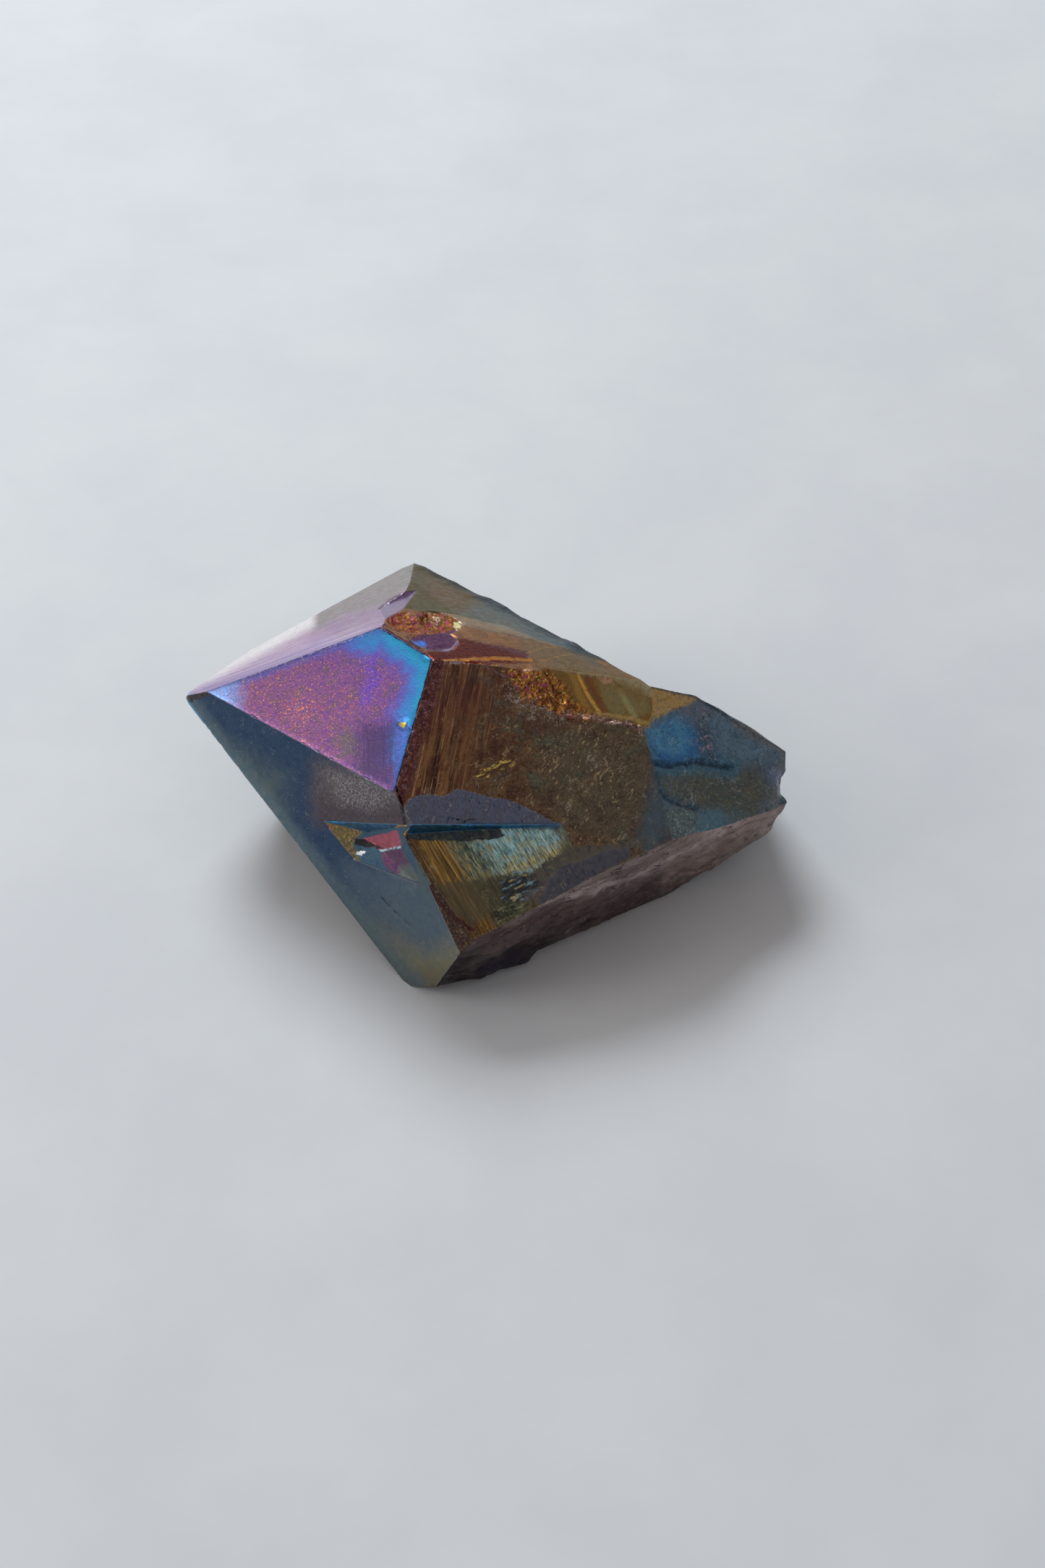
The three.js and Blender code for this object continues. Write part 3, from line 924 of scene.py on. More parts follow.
    def finish(self):
        """Joins the colour, the relief and the roughness to the shader."""
        self.feed(self.shader.inputs["Base Color"], self.colour)
        if self.height is not None:
            inputs = {"Height": self.height, "Distance": MM, "Strength": 1.0}
            self.feed(self.shader.inputs["Normal"], self.node("ShaderNodeBump", inputs).outputs[0])
        roughness = self.roughness
        if isinstance(roughness, tuple):
            inputs = {"Value": self.noise(self.rough_size, 4), "From Min": NOISE_LOW,
                      "From Max": NOISE_HIGH, "To Min": roughness[0], "To Max": roughness[1]}
            roughness = self.node("ShaderNodeMapRange", inputs).outputs[0]
        self.feed(self.shader.inputs["Roughness"], roughness)
        return self.material


# ---- directions of the paints' grain ----
C_AXIS = lying(0, 0)
STRIAE_FRONT = unit(np.cross(C_AXIS, FACE_NORMALS["prism_front"]))
RECESS_LINES = unit(np.cross(FACE_NORMALS["tip_lower"], FACE_NORMALS["recess"]))
STRIAE_TOP = unit(np.cross(C_AXIS, FACE_NORMALS["prism_top"]))
EDGE_FRONT = unit(np.cross(FACE_NORMALS["tip_back"], FACE_NORMALS["tip_front"]))
KITE_LINES = unit(np.cross(FACE_NORMALS["tip_front"], EDGE_FRONT) + 0.12 * EDGE_FRONT)
BARK_ALONG = unit(BARK_GRAIN)


# ---- layers that several paints share ----
def gold_pits(p):
    """The glittering pits at the shoulder. Returns where they are."""
    gold = p.within("gold_pits", 0.3, 0.8, 0.6)
    p.lay(p.mottle(0.34, 0x221414, 0x3E221C, 0x54321E, 0x845426, 0xB07634, 0xF2BE5C,
                   direction=(0.4, 0.8, 0.4), stretch=1.6, detail=6, roughness=0.8, low=0.34, high=0.68),
          gold)
    p.spots(0xF8CA68, 0.22, 0.6, 0.64, 0.85, gold, roughness=0.75)
    return gold


def pit_rim(p):
    """The speckled rim below the pits."""
    pits = p.beside("pit_rim", 0.05, 0.35, 0.4, 0.3)
    p.lay(p.mottle(0.16, 0x362424, 0x684E4A, 0xC4ACA0, detail=5, roughness=0.75, low=0.38, high=0.68),
          pits, 0.8)


def dull_zones(p, soft):
    """Brown ground below the plateau, with a grey plate on it."""
    p.fill(p.mottle(0.5, 0x3A3836, 0x504A42, 0x424446, detail=5), "brown_zone", soft, 0.3)
    p.fill(p.mottle(0.35, 0x36363C, 0x42424A, 0x4C4848), "grey_plate", 0.06, 0.12)


def corner_chip(p):
    """The golden chip where the recess meets the lower tip face."""
    p.fill(0xCC943E, "corner_chip", 0.08, 0.15, size=0.3)


def worn_edge(p, colour, width, amount):
    """The folds that stand out, where they are rubbed."""
    p.draw(colour, "ridge", 0.0, width, 0.03, amount, size=0.25)


# ---- one paint for each kind of surface ----
def paint_pearl():
    p = Paint("pearl", 0.7, (0.24, 0.42), gain=1.1)
    away = p.maths("MULTIPLY_ADD", p.noise(0.5, 3, EDGE_FRONT, 8), 0.9, p.field("front_edge"))
    p.lay(p.ramp(p.maths("DIVIDE", away, 6.0), (0.05, 0x7464A6), (0.12, 0x9880B2), (0.3, 0xB290AE),
                 (0.5, 0xB8A0AC), (0.75, 0xB8B0AE), (1.0, 0xACACA4)))
    p.fill(p.mottle(0.25, 0x7A6280, 0x927692, 0xA08A98), "mauve", 0.7, 0.3, 0.8)
    p.fill(p.mottle(0.5, 0x747268, 0x827C72, 0x928682), "grey_end", 0.4, 0.2, 0.9)
    left = p.step(p.field("grey_end"), -0.3, -1.5)
    stripes = p.step(p.noise(0.18, 3, EDGE_FRONT, 40), 0.44, 0.6)
    p.lay(0xE6D0D6, p.both(stripes, left), 0.5)
    stripes = p.step(p.noise(0.14, 2, EDGE_FRONT, 40), 0.52, 0.62)
    p.lay(0x846098, p.both(stripes, p.beside("front_edge", 1.2, 3.4)), 0.6)
    p.fill(0xF0EAE8, "glare", 0.45, 0.12, 0.9)
    pink = p.both(p.step(p.noise(0.16, 3, EDGE_FRONT, 30), 0.5, 0.64),
                  p.step(p.field("glare"), 0.8, -0.6))
    p.lay(0xBA92A6, p.both(pink, p.beside("front_edge", 4.2, 5.2)), 0.45)
    # A dark line along the step: painted shade in the step's groove.
    p.draw(0x544050, "step_line", 0.03, 0.12, 0.05, 0.85)
    p.flakes(0x705C7C, 0.16, 0.12, 0.35)
    p.draw(0x282228, "apex_chip", 0.02, 0.22, 0.12, 0.8)
    p.draw(0x96A2CC, "apex", 0.2, 0.9, 0.1, 0.8)
    worn_edge(p, 0xA89EC4, 0.08, 0.35)
    p.raise_by(p.noise(0.15, 3), 0.005)
    p.raise_by(p.noise(0.12, 2, EDGE_FRONT, 25), 0.012)
    return p.finish()


def paint_step():
    p = Paint("step", 0.8, 0.3, gain=1.1)
    p.lay(p.mottle(0.3, 0x70587C, 0x80688A, 0x8C7494))
    worn_edge(p, 0x503C50, 0.1, 0.7)
    p.raise_by(p.noise(0.2, 3), 0.008)
    return p.finish()


def paint_kite():
    p = Paint("kite", 0.85, (0.28, 0.46), gain=0.88, rough_size=0.25)
    drift = p.maths("MULTIPLY_ADD", p.maths("SUBTRACT", p.noise(0.9, 5, roughness=0.65), 0.5), 2.2,
                    p.field("kite_rim"))
    p.lay(p.ramp(p.maths("DIVIDE", drift, 9.0), (0.03, 0x369CC8), (0.11, 0x4886CA), (0.2, 0x5C64BE),
                 (0.32, 0x6E58AC), (0.5, 0x785A9A), (1.0, 0x845C8A)))
    centre = p.step(drift, 1.0, 3.0)
    p.lay(p.mottle(0.4, 0x5E4692, 0x86568C, 0x985E7C, 0x746074, roughness=0.75), centre, 0.6)
    p.fill(0x6A4ED8, "violet_band", 0.6, 0.4, 0.6, size=0.6)
    p.spots(p.mottle(0.4, 0x625C60, 0x78646C), 1.0, 0.52, 0.62, 0.6, centre, detail=5, roughness=0.7)
    p.draw(0x566ABA, "front_edge", 0.1, 0.9, 0.3, 0.7)
    p.draw(0x8AB4F6, "kite_tip", 0.6, 3.6, 0.4, size=0.5)
    p.specks(0.14, 4, (0x483670, 0.48, 0.38, 0.6), (0xB67A92, 0.56, 0.66, 0.55), centre)
    p.flakes(0xC47054, 0.17, 0.1, 0.6, where=centre)
    p.flakes(0xD29254, 0.14, 0.06, 0.75, where=centre)
    glow = p.within("orange_glow", 1.0, 0.6)
    p.flakes(0xE87442, 0.2, 0.35, 0.8, where=glow)
    p.flakes(0xF0B05C, 0.14, 0.2, 0.9, where=glow)
    gold = p.step(p.noise(0.22, 3, roughness=0.7), 0.6, 0.66)
    p.lay(0xDE9660, p.both(gold, p.step(p.noise(1.6, 3), 0.5, 0.6), centre), 0.8)
    p.fill(p.mottle(0.16, 0x545A50, 0x747268), "grey_spot", 0.6, 0.5, 0.7)
    p.fill(p.mottle(0.3, 0x5266BA, 0x687AD6), "blue_stripe", 0.06, 0.04, 0.85)
    p.draw(0x3270B0, "kite_foot", 0.1, 0.7, 0.2, 0.7)
    p.spots(0x4A3A6E, 0.12, 0.5, 0.6, 0.6, p.within("kite_low", 0.9, 0.4), detail=2,
            direction=KITE_LINES, stretch=40)
    p.fill(0x4E4268, "kite_low", 1.0, 0.5, 0.8)
    worn_edge(p, 0x3A3870, 0.12, 0.6)
    jag = p.both(p.beside("ridge", 0.06, 0.18, 0.1, 0.6), p.beside("right_edge", 0.7, 1.0))
    p.lay(p.mottle(0.25, 0x161220, 0x2E2434, 0x284660), jag)
    jag = p.both(p.beside("ridge", 0.05, 0.16, 0.08, 0.5), p.beside("upper_edge", 0.5, 0.8))
    p.lay(p.mottle(0.25, 0x182E4A, 0x321E32), jag)
    p.fill(0xD8BE60, "yellow_chip", 0.03, 0.04)
    p.draw(0x1E141E, "chip_line", 0.02, 0.07, 0.03, 0.85)
    # Pale dots along the front edge: a painted highlight on the edge.
    p.spots(0xC4C4E0, 0.2, 0.5, 0.6, 0.6, p.beside("front_edge", 0.03, 0.12, 0.04), detail=3)
    p.raise_by(p.noise(0.16, 4), 0.012)
    return p.finish()


def paint_navy():
    p = Paint("navy", 0.9, (0.28, 0.48))
    p.lay(p.mottle(0.9, 0x36444C, 0x404C50, 0x4A504E))
    p.draw(p.mottle(0.7, 0x1C2E46, 0x26384C), "navy_edge", 1.4, 4.2, 0.5, 0.95, size=1.2)
    p.fill(p.mottle(0.4, 0x3E4C58, 0x4A545E), "steel", 1.0, 0.4, 0.7)
    p.fill(p.mottle(0.7, 0x5C5E50, 0x70664C), "olive_tip", 1.8, 0.8, 0.95)
    p.fill(p.mottle(0.5, 0x5C5442, 0x504C40), "brown_tip", 1.0, 0.5, 0.8)
    # Lighter blue-grey along the far rim, and bluer near the tip: a painted highlight along that edge.
    p.draw(p.mottle(0.5, 0x42545C, 0x546062), "far_rim", 0.3, 1.4, 0.2, 0.7, size=0.5)
    p.lay(0x4A809C, p.both(p.beside("far_rim", 0.05, 0.3, 0.1), p.beside("kite_tip", 4, 11)), 0.7)
    p.draw(p.mottle(0.2, 0x181418, 0x463C38), "apex_chip", 0.2, 0.5, 0.2, 0.9)
    grey = p.within("speckled", 1.3, 0.6, 0.8)
    p.lay(p.mottle(0.3, 0x362F32, 0x4C4344, 0x5E5654, detail=5, roughness=0.7), grey)
    p.fill(p.mottle(0.3, 0x362E34, 0x463C3E), "dark_foot", 0.8, 0.4, 0.9)
    p.spots(0x848082, 0.16, 0.47, 0.6, 0.7, p.within("pale_speckle", 0.7, 0.5), roughness=0.75)
    p.scratches(0x686C70, 0.4, 3, (0.8, 0.2, 0.5), 0.5, share=0.3)
    p.spots(0x76787A, 0.14, 0.6, 0.7, 0.4, detail=3, roughness=0.75)
    p.draw(0x1A1A1E, "small_crack", 0.02, 0.08, 0.04, 0.8)
    p.draw(0x221C20, "crack", 0.05, 0.3, 0.1, 0.8)
    worn_edge(p, 0x7E7678, 0.07, 0.6)
    p.raise_by(p.noise(0.15, 4), 0.012)
    return p.finish()


def paint_bronze():
    p = Paint("bronze", 0.92, (0.28, 0.52), rough_size=0.3)
    p.lay(p.mottle(2.2, 0x382620, 0x4C3426, 0x5E4834, 0x423C32, 0x545246, roughness=0.75, low=0.36,
                   high=0.66))
    p.spots(p.mottle(0.6, 0x4A2E24, 0x3C2822, 0x5A3E2A, detail=5, roughness=0.75), 1.4, 0.46, 0.6, 0.55)
    p.fill(p.mottle(0.7, 0x3A362E, 0x4C4A40, 0x544C3A, detail=5, roughness=0.75), "grey_right", 2.0, 0.8,
           0.6)
    left = p.beside("right_edge", 1.4, 8.0, 1.2, 1.2)
    p.specks(0.15, 4, (0x221A16, 0.45, 0.36, 0.5), (0x7A6E5A, 0.54, 0.66, 0.5))
    haze = p.step(p.noise(1.3, 5, roughness=0.8), 0.54, 0.66)
    p.spots(0x6C6254, 0.2, 0.4, 0.6, 0.3, haze, detail=3)
    p.spots(0x281E1A, 0.5, 0.54, 0.66, 0.4, detail=5, roughness=0.75)
    p.filaments(0x8E867C, 1.6, 0.5, share=0.3, direction=(0.5, 0.75, 0.4), stretch=1.6)
    p.filaments(0x968260, 0.8, 0.6, share=0.4, width=0.02, direction=(0.5, 0.75, 0.4), stretch=2.5)
    p.filaments(0x1E1614, 1.1, 0.6, width=0.018)
    p.fill(p.mottle(0.7, 0x364650, 0x3C525E), "teal_end", 0.8, 0.5, 0.75)
    bands = p.noise(0.8, 3, STRIAE_FRONT, 9)
    p.lay(p.ramp(bands, (0.34, 0x261716), (0.46, 0x502E20), (0.54, 0x785232), (0.66, 0x38221E)), left,
          0.65)
    p.spots(0x241816, 0.26, 0.55, 0.63, 0.75, left, detail=3, direction=STRIAE_FRONT, stretch=16)
    p.spots(0xA4825E, 0.1, 0.6, 0.66, 0.6, left, detail=2, direction=STRIAE_FRONT, stretch=44)
    p.fill(0x482626, "red_corner", 1.6, 0.8, 0.4, size=1.0)
    p.filaments(0x846642, 0.5, 0.5, where=left, share=0.4, width=0.016, direction=STRIAE_FRONT, stretch=6)
    maroon = p.beside("right_edge", 0.5, 1.3, 0.4, 0.5)
    p.lay(p.mottle(0.35, 0x180C10, 0x3E2026, 0x4C2C28, 0x744A50, detail=5, roughness=0.8, low=0.34,
                   high=0.66), maroon, 0.9)
    p.filaments(0x847076, 0.35, 0.8, where=maroon, share=0.6, width=0.02)
    glints = p.within("glints", 0.2, 0.35)
    p.lay(p.mottle(0.26, 0x423228, 0x684E30, 0xE0B05C, direction=(0.9, 0.35, 0.2), stretch=3, low=0.44,
                   high=0.64), glints, 0.95)
    p.spots(0xA08E68, 0.2, 0.6, 0.7, 0.65, p.within("more_glints", 0.6, 0.6, 1.0), detail=3,
            direction=(0.55, 0.75, 0.4), stretch=2)
    p.draw(0x686474, "violet_curve", 0.02, 0.12, 0.08, 0.6)
    p.spots(0x969296, 0.18, 0.54, 0.66, 0.6, p.within("grey_pits", 0.4, 0.5, 0.4), detail=5,
            roughness=0.8)
    p.filaments(0xBAB6B2, 0.45, 0.8, where=p.within("grey_pits", 0.9, 0.5), share=0.8, width=0.02)
    dull_zones(p, 0.2)
    plateau = p.within("plateau", 0.03, 0.05)
    p.lay(p.mottle(0.5, 0x2E3242, 0x525666, 0x3E404E, 0x6C686C, detail=5, roughness=0.8,
                   direction=STRIAE_FRONT, stretch=2, low=0.36, high=0.64), plateau)
    p.filaments(0x706E74, 0.5, 0.6, where=plateau)
    p.draw(0x766E68, "plateau_rim", 0.02, 0.07, 0.04, 0.6)
    p.draw(0x243E54, "ledge_line", 0.1, 0.32, 0.1, 0.85)
    p.draw(0x120D0F, "crack", 0.06, 0.18, 0.05, 0.95)
    p.draw(0x121016, "dark_crack", 0.05, 0.13, 0.05, 0.9)
    p.draw(p.mottle(0.2, 0x6E6468, 0xB0A8B0, low=0.45, high=0.6), "broken_line", 0.02, 0.12, 0.16, 0.7,
           size=0.25)
    gold = gold_pits(p)
    p.spots(0x7E3654, 0.4, 0.55, 0.62, 0.7, gold, detail=3)
    pit_rim(p)
    worn_edge(p, 0x68605E, 0.07, 0.35)
    p.raise_by(p.noise(0.14, 3, STRIAE_FRONT, 12), 0.02)
    p.raise_by(p.noise(0.3, 5, roughness=0.75), 0.045)
    return p.finish()


def paint_gilt():
    p = Paint("gilt", 0.92, (0.26, 0.48))
    streak = p.noise(0.12, 5, RECESS_LINES, 7, roughness=0.75)
    p.lay(p.ramp(streak, (0.36, 0x2C2A22), (0.5, 0x464030), (0.64, 0x645C42)))
    p.fill(p.ramp(streak, (0.36, 0x222A2C), (0.5, 0x4E564C), (0.62, 0x888A68)), "green_gold", 0.4, 0.4,
           size=0.6)
    p.fill(p.ramp(streak, (0.36, 0x324C52), (0.5, 0x6E8C8A), (0.64, 0xAAC8C2)), "sheen", 1.0, 0.7,
           size=0.7)
    p.fill(p.ramp(streak, (0.36, 0x423A26), (0.5, 0x7E744A), (0.64, 0xBEAA70)), "gold_glow", 0.9, 0.6,
           0.85, size=0.6)
    cyan = p.both(p.step(p.noise(0.6, 4, roughness=0.7), 0.52, 0.62), p.within("sheen", 0.6, 0.6))
    p.lay(0x74A0B0, cyan, 0.55)
    warm = p.both(p.step(p.noise(0.7, 4, roughness=0.7), 0.52, 0.62), p.within("green_gold", 0.6, 0.6))
    p.lay(0x968048, warm, 0.35)
    p.fill(p.ramp(p.noise(0.16, 3, RECESS_LINES, 24), (0.34, 0x3E2A16), (0.5, 0x6A4E26),
                  (0.66, 0xA67E3C)), "gold_strip", 0.7, 0.4, 0.85)
    p.draw(p.mottle(0.3, 0x38221C, 0x4A3020), "red_seam", 0.4, 1.3, 0.3, 0.7)
    p.fill(p.mottle(0.35, 0x3A382E, 0x4C4636, 0x42443C, direction=RECESS_LINES, stretch=3), "low_brown",
           0.3, 0.4, 0.75)
    dull_zones(p, 0.15)
    p.fill(p.mottle(0.5, 0x423A2E, 0x504C40, 0x38342C, detail=5, roughness=0.75), "recess_end", 0.8, 0.6,
           0.85, size=0.5)
    pit = p.within("blue_pit", 0.3, 0.4)
    p.lay(p.mottle(0.3, 0x222224, 0x323436, 0x44484A, detail=5, direction=(1, 0.4, 0.2), stretch=3), pit)
    p.spots(0x6E8E9A, 0.3, 0.56, 0.66, 0.75, pit, detail=5, direction=(1, 0.5, 0.2), stretch=3)
    p.spots(0xAA9260, 0.3, 0.58, 0.68, 0.7, pit, detail=5, direction=(1, 0.5, 0.2), stretch=3)
    bits = p.within("green_bits", 0.3, 0.4)
    p.lay(p.mottle(0.26, 0x262620, 0x383A30, 0x50503E, 0x807C5A, 0xC4C4A0, detail=6,
                   direction=(1, 0.4, 0.1), stretch=2.5, roughness=0.8, low=0.4, high=0.74), bits)
    # A dark band just under the ledge: painted shade below its lip, with blue specks on it.
    p.fill(p.mottle(0.4, 0x22282A, 0x2E3232, 0x40443E), "dark_corner", 0.06, 0.16, size=0.6)
    p.spots(0x283E4E, 0.3, 0.55, 0.64, 0.7, p.within("dark_corner", 0.1, 0.1))
    p.draw(0x34161A, "red_seam", 0.05, 0.26, 0.1, 0.9)
    corner_chip(p)
    p.draw(0x24425A, "ledge_line", 0.1, 0.36, 0.12, 0.8)
    p.spots(0x202222, 0.12, 0.57, 0.64, 0.45, detail=3, direction=RECESS_LINES, stretch=24)
    p.filaments(0x969276, 0.5, 0.4, share=0.4, direction=RECESS_LINES, stretch=3)
    worn_edge(p, 0x685C54, 0.08, 0.4)
    p.raise_by(p.noise(0.1, 3, RECESS_LINES, 12), 0.03)
    p.raise_by(streak, 0.04)
    return p.finish()


def paint_ledge():
    p = Paint("ledge", 0.9, 0.3)
    p.lay(p.mottle(0.4, 0x123454, 0x24587C, 0x487480, detail=5, roughness=0.7))
    corner_chip(p)
    worn_edge(p, 0x3C6882, 0.08, 0.5)
    p.raise_by(p.noise(0.2, 3), 0.02)
    return p.finish()


def paint_olive():
    p = Paint("olive", 0.94, (0.34, 0.52), specular=0.15, gain=1.3)
    p.lay(p.mottle(1.2, 0x443816, 0x544620, 0x504A2C, 0x585032))
    p.fill(p.mottle(0.8, 0x56686E, 0x68787C), "grey_band", 1.2, 0.6, 0.85)
    p.fill(p.mottle(0.5, 0x2C4454, 0x465A62), "teal_band", 0.7, 0.5, 0.85)
    p.fill(0x6C4C26, "gold_blotch", 0.7, 0.5, 0.6, size=0.7)
    # A dark line along the upper outline: a painted dark reflection on the rounded edge.
    p.draw(0x1A2834, "skyline", 0.1, 0.55, 0.2, 0.75, size=0.6)
    p.draw(0x867C6C, "pale_strip", 0.12, 0.28, 0.06, 0.85)
    p.spots(0x706850, 0.18, 0.56, 0.7, 0.35, roughness=0.75)
    p.spots(0x2C281E, 0.2, 0.56, 0.7, 0.35, roughness=0.75)
    worn_edge(p, 0x605C56, 0.07, 0.4)
    p.raise_by(p.noise(0.2, 4), 0.02)
    return p.finish()


def paint_copper():
    p = Paint("copper", 0.94, (0.3, 0.48), specular=0.1, gain=1.55)
    p.lay(p.mottle(0.8, 0x664630, 0x7C583C, 0x866446, detail=5, roughness=0.7))
    p.fill(p.mottle(0.7, 0x5C4C32, 0x685A40, 0x6C5E48), "olive_end", 1.0, 0.6, 0.9)
    p.draw(0x382C26, "top_dark", 0.02, 0.1, 0.04, 0.7)
    for line in ("fold_line", "fold_line_two"):
        p.draw(0x967442, line, 0.02, 0.1, 0.04, 0.55)
    p.fill(0x3E463E, "dark_fold", 0.35, 0.2, 0.7)
    p.specks(0.16, 4, (0xA67A54, 0.56, 0.66, 0.4), (0x3E221E, 0.45, 0.36, 0.4))
    p.filaments(0x3C2622, 0.8, 0.5, share=0.4)
    p.draw(0x8C8270, "pale_strip", 0.2, 0.7, 0.2, 0.6)
    p.draw(0x401630, "purple_line", 0.15, 0.5, 0.15, 0.75)
    p.fill(p.mottle(0.3, 0x1C0608, 0x460E0C, 0x5C1E0C, 0x360A16, detail=5, roughness=0.7, low=0.36,
                    high=0.66), "red_band", 0.16, 0.14)
    p.spots(0x78322E, 0.16, 0.56, 0.62, 0.6, p.within("red_band", 0.1, 0.1), detail=3, roughness=0.7)
    p.draw(0xA66C24, "gold_line", 0.04, 0.2, 0.12, 0.8)
    worn_edge(p, 0x806250, 0.07, 0.3)
    p.lay(p.mottle(0.3, 0x24101E, 0x461E2C),
          p.both(p.beside("ridge", 0.1, 0.3, 0.15), p.beside("upper_edge", 0.5, 0.8)))
    p.raise_by(p.noise(0.3, 5), 0.04)
    return p.finish()


def paint_fold():
    p = Paint("fold", 0.9, (0.3, 0.48), gain=1.95)
    p.lay(p.mottle(0.7, 0x583E24, 0x644C2A, 0x564628, direction=STRIAE_FRONT, stretch=5))
    p.fill(p.mottle(0.6, 0x766C52, 0x84785E, 0x68624C, detail=5), "upper_fold", 0.2, 0.15)
    p.fill(p.mottle(0.6, 0x5E5436, 0x6C6040, 0x5C5A42), "olive_fold", 0.4, 0.3, 0.9)
    p.draw(0x5C3624, "fold_dark", 0.1, 0.4, 0.12, 0.7)
    p.draw(0xAC823E, "fold_gold", 0.05, 0.22, 0.06, 0.8)
    p.draw(0x866632, "fold_gold_left", 0.1, 0.4, 0.1, 0.6)
    p.draw(0x7C7650, "fold_gold_two", 0.08, 0.36, 0.1, 0.7)
    p.draw(0x8C7646, "fold_foot", 0.06, 0.3, 0.12, 0.7)
    p.draw(0x42362A, "fold_top", 0.03, 0.16, 0.08, 0.4)
    p.lay(0x684E2C, p.both(p.beside("fold_top", 0.3, 0.7, 0.2), p.within("olive_fold", 0.6, 0.3)), 0.5)
    p.fill(0xA07664, "pink_bit", 0.15, 0.2, 0.5)
    gold_pits(p)
    pit_rim(p)
    p.spots(0x32261A, 0.2, 0.56, 0.68, 0.5, roughness=0.75)
    worn_edge(p, 0x826E50, 0.07, 0.35)
    p.raise_by(p.noise(0.14, 3, STRIAE_FRONT, 12), 0.03)
    p.raise_by(p.noise(0.3, 4), 0.03)
    return p.finish()


def paint_bark():
    p = Paint("bark", 0.75, (0.36, 0.58), gain=2.2)
    down = p.field("bark_ridge")
    above = p.within("bark_top", 0.3, 0.3, 1.0)
    # Lighter near the ridge line and darker away from it: painted shade on the lower band, which faces
    # down.
    p.lay(p.ramp(p.maths("DIVIDE", p.maths("MULTIPLY_ADD", p.noise(0.6, 4, BARK_ALONG, 4), 1.6, down),
                         6.0), (0.1, 0x5C504E), (0.35, 0x423533), (0.7, 0x2A2222), (1.0, 0x221B1C)))
    p.lay(p.mottle(0.6, 0x463C3A, 0x645856, 0x504440, direction=BARK_ALONG, stretch=5), above)
    p.fill(p.mottle(1.2, 0x625450, 0x7A6C66), "bark_right", 1.2, 0.6, 0.85)
    # A paler line along the ridge: a painted highlight.
    p.draw(0x8A7E7C, "bark_ridge", 0.05, 0.4, 0.3, 0.6, size=0.6)
    # Lighter where the relief stands out: a painted highlight on the lumps.
    p.lay(0x5C504E, p.step(p.field("height"), 0.1, 0.5), 0.35)
    p.filaments(0x7A706E, 0.8, 0.5, direction=BARK_ALONG, stretch=4)
    p.filaments(0x181212, 0.8, 0.8, share=0.6, width=0.02, direction=BARK_ALONG, stretch=4)
    # Dark lumps at the foot, by the floor: painted shade.
    p.fill(0x1C1C26, "dark_lump", 0.5, 0.4, 0.7)
    p.raise_by(p.noise(0.4, 5, BARK_ALONG, 3), 0.1)
    p.raise_by(p.noise(0.15, 4), 0.04)
    return p.finish()


def paint_slate():
    p = Paint("slate", 0.9, (0.28, 0.46), gain=2.35)
    p.lay(p.mottle(2.0, 0x304450, 0x38464E, 0x424C52, 0x363E3E))
    p.fill(p.mottle(1.2, 0x364E62, 0x445866, 0x3A4E5E), "slate_top", 1.0, 0.5, 0.8)
    p.spots(p.mottle(0.8, 0x2C3C48, 0x48525A), 1.2, 0.45, 0.65, 0.5, detail=5)
    p.fill(p.mottle(1.0, 0x464238, 0x3A3E3C, 0x404236), "olive_pool", 0.8, 0.5, size=0.8)
    p.draw(0x2E4C5A, "pool_crease", 0.5, 1.4, 0.4, 0.7)
    pool = p.within("blue_pool", 0.7, 0.25, 0.6)
    p.lay(p.mottle(0.8, 0x3E6680, 0x365C76, 0x24507A), pool)
    # Deep blue along the pool's right and lower rim: painted shade inside the hollow.
    p.lay(0x1A3E6A, p.both(pool, p.beside("pool_side", 0.2, 1.2, 0.4)), 0.7)
    p.fill(p.mottle(0.6, 0x544E58, 0x424C58), "plum", 0.9, 0.5, 0.7)
    p.fill(0x1E2C3A, "pink_specks", 0.7, 0.5, 0.6)
    p.spots(0x786468, 0.3, 0.52, 0.64, 0.75, p.within("pink_specks", 0.4, 0.4), roughness=0.7)
    p.fill(p.mottle(0.7, 0x364856, 0x42545E), "slate_pool", 0.5, 0.3)
    green = p.within("green_pool", 0.4, 0.35)
    p.lay(p.mottle(0.4, 0x323E46, 0x424A4A, 0x52564E, detail=5, roughness=0.75), green)
    p.spots(0x709094, 0.24, 0.55, 0.64, 0.7, green, detail=5, roughness=0.75)
    p.fill(p.mottle(0.5, 0x364E5A, 0x425860), "teal_facet", 0.3, 0.2, 0.8)
    p.fill(0x4A5268, "plum_end", 0.4, 0.2, 0.8)
    p.fill(p.mottle(0.5, 0x705A36, 0x806840, 0x5C5038), "gold_corner", 0.2, 0.25)
    # A dark line in the crease below the pool: a painted shadow of its rim wall.
    p.draw(0x122030, "pool_crease", 0.02, 0.5, 0.25, 0.75)
    p.draw(0x182E40, "scallop", 0.02, 0.4, 0.2, 0.75)
    # A dark line along the upper outline: a painted dark reflection on the rounded edge.
    p.draw(0x1A242E, "skyline", 0.02, 0.22, 0.1, 0.7)
    rim = p.beside("end_rim", 0.2, 0.6, 0.3)
    p.lay(p.mottle(0.25, 0x424242, 0x686260), rim, 0.45)
    p.specks(0.22, 5, (0x22282C, 0.46, 0.36, 0.55), (0x6C7478, 0.55, 0.67, 0.45), roughness=0.78)
    p.filaments(0x767874, 1.2, 0.5, share=0.45)
    p.filaments(0x182028, 1.0, 0.6, width=0.02)
    p.raise_by(p.noise(0.6, 5), 0.12)
    return p.finish()


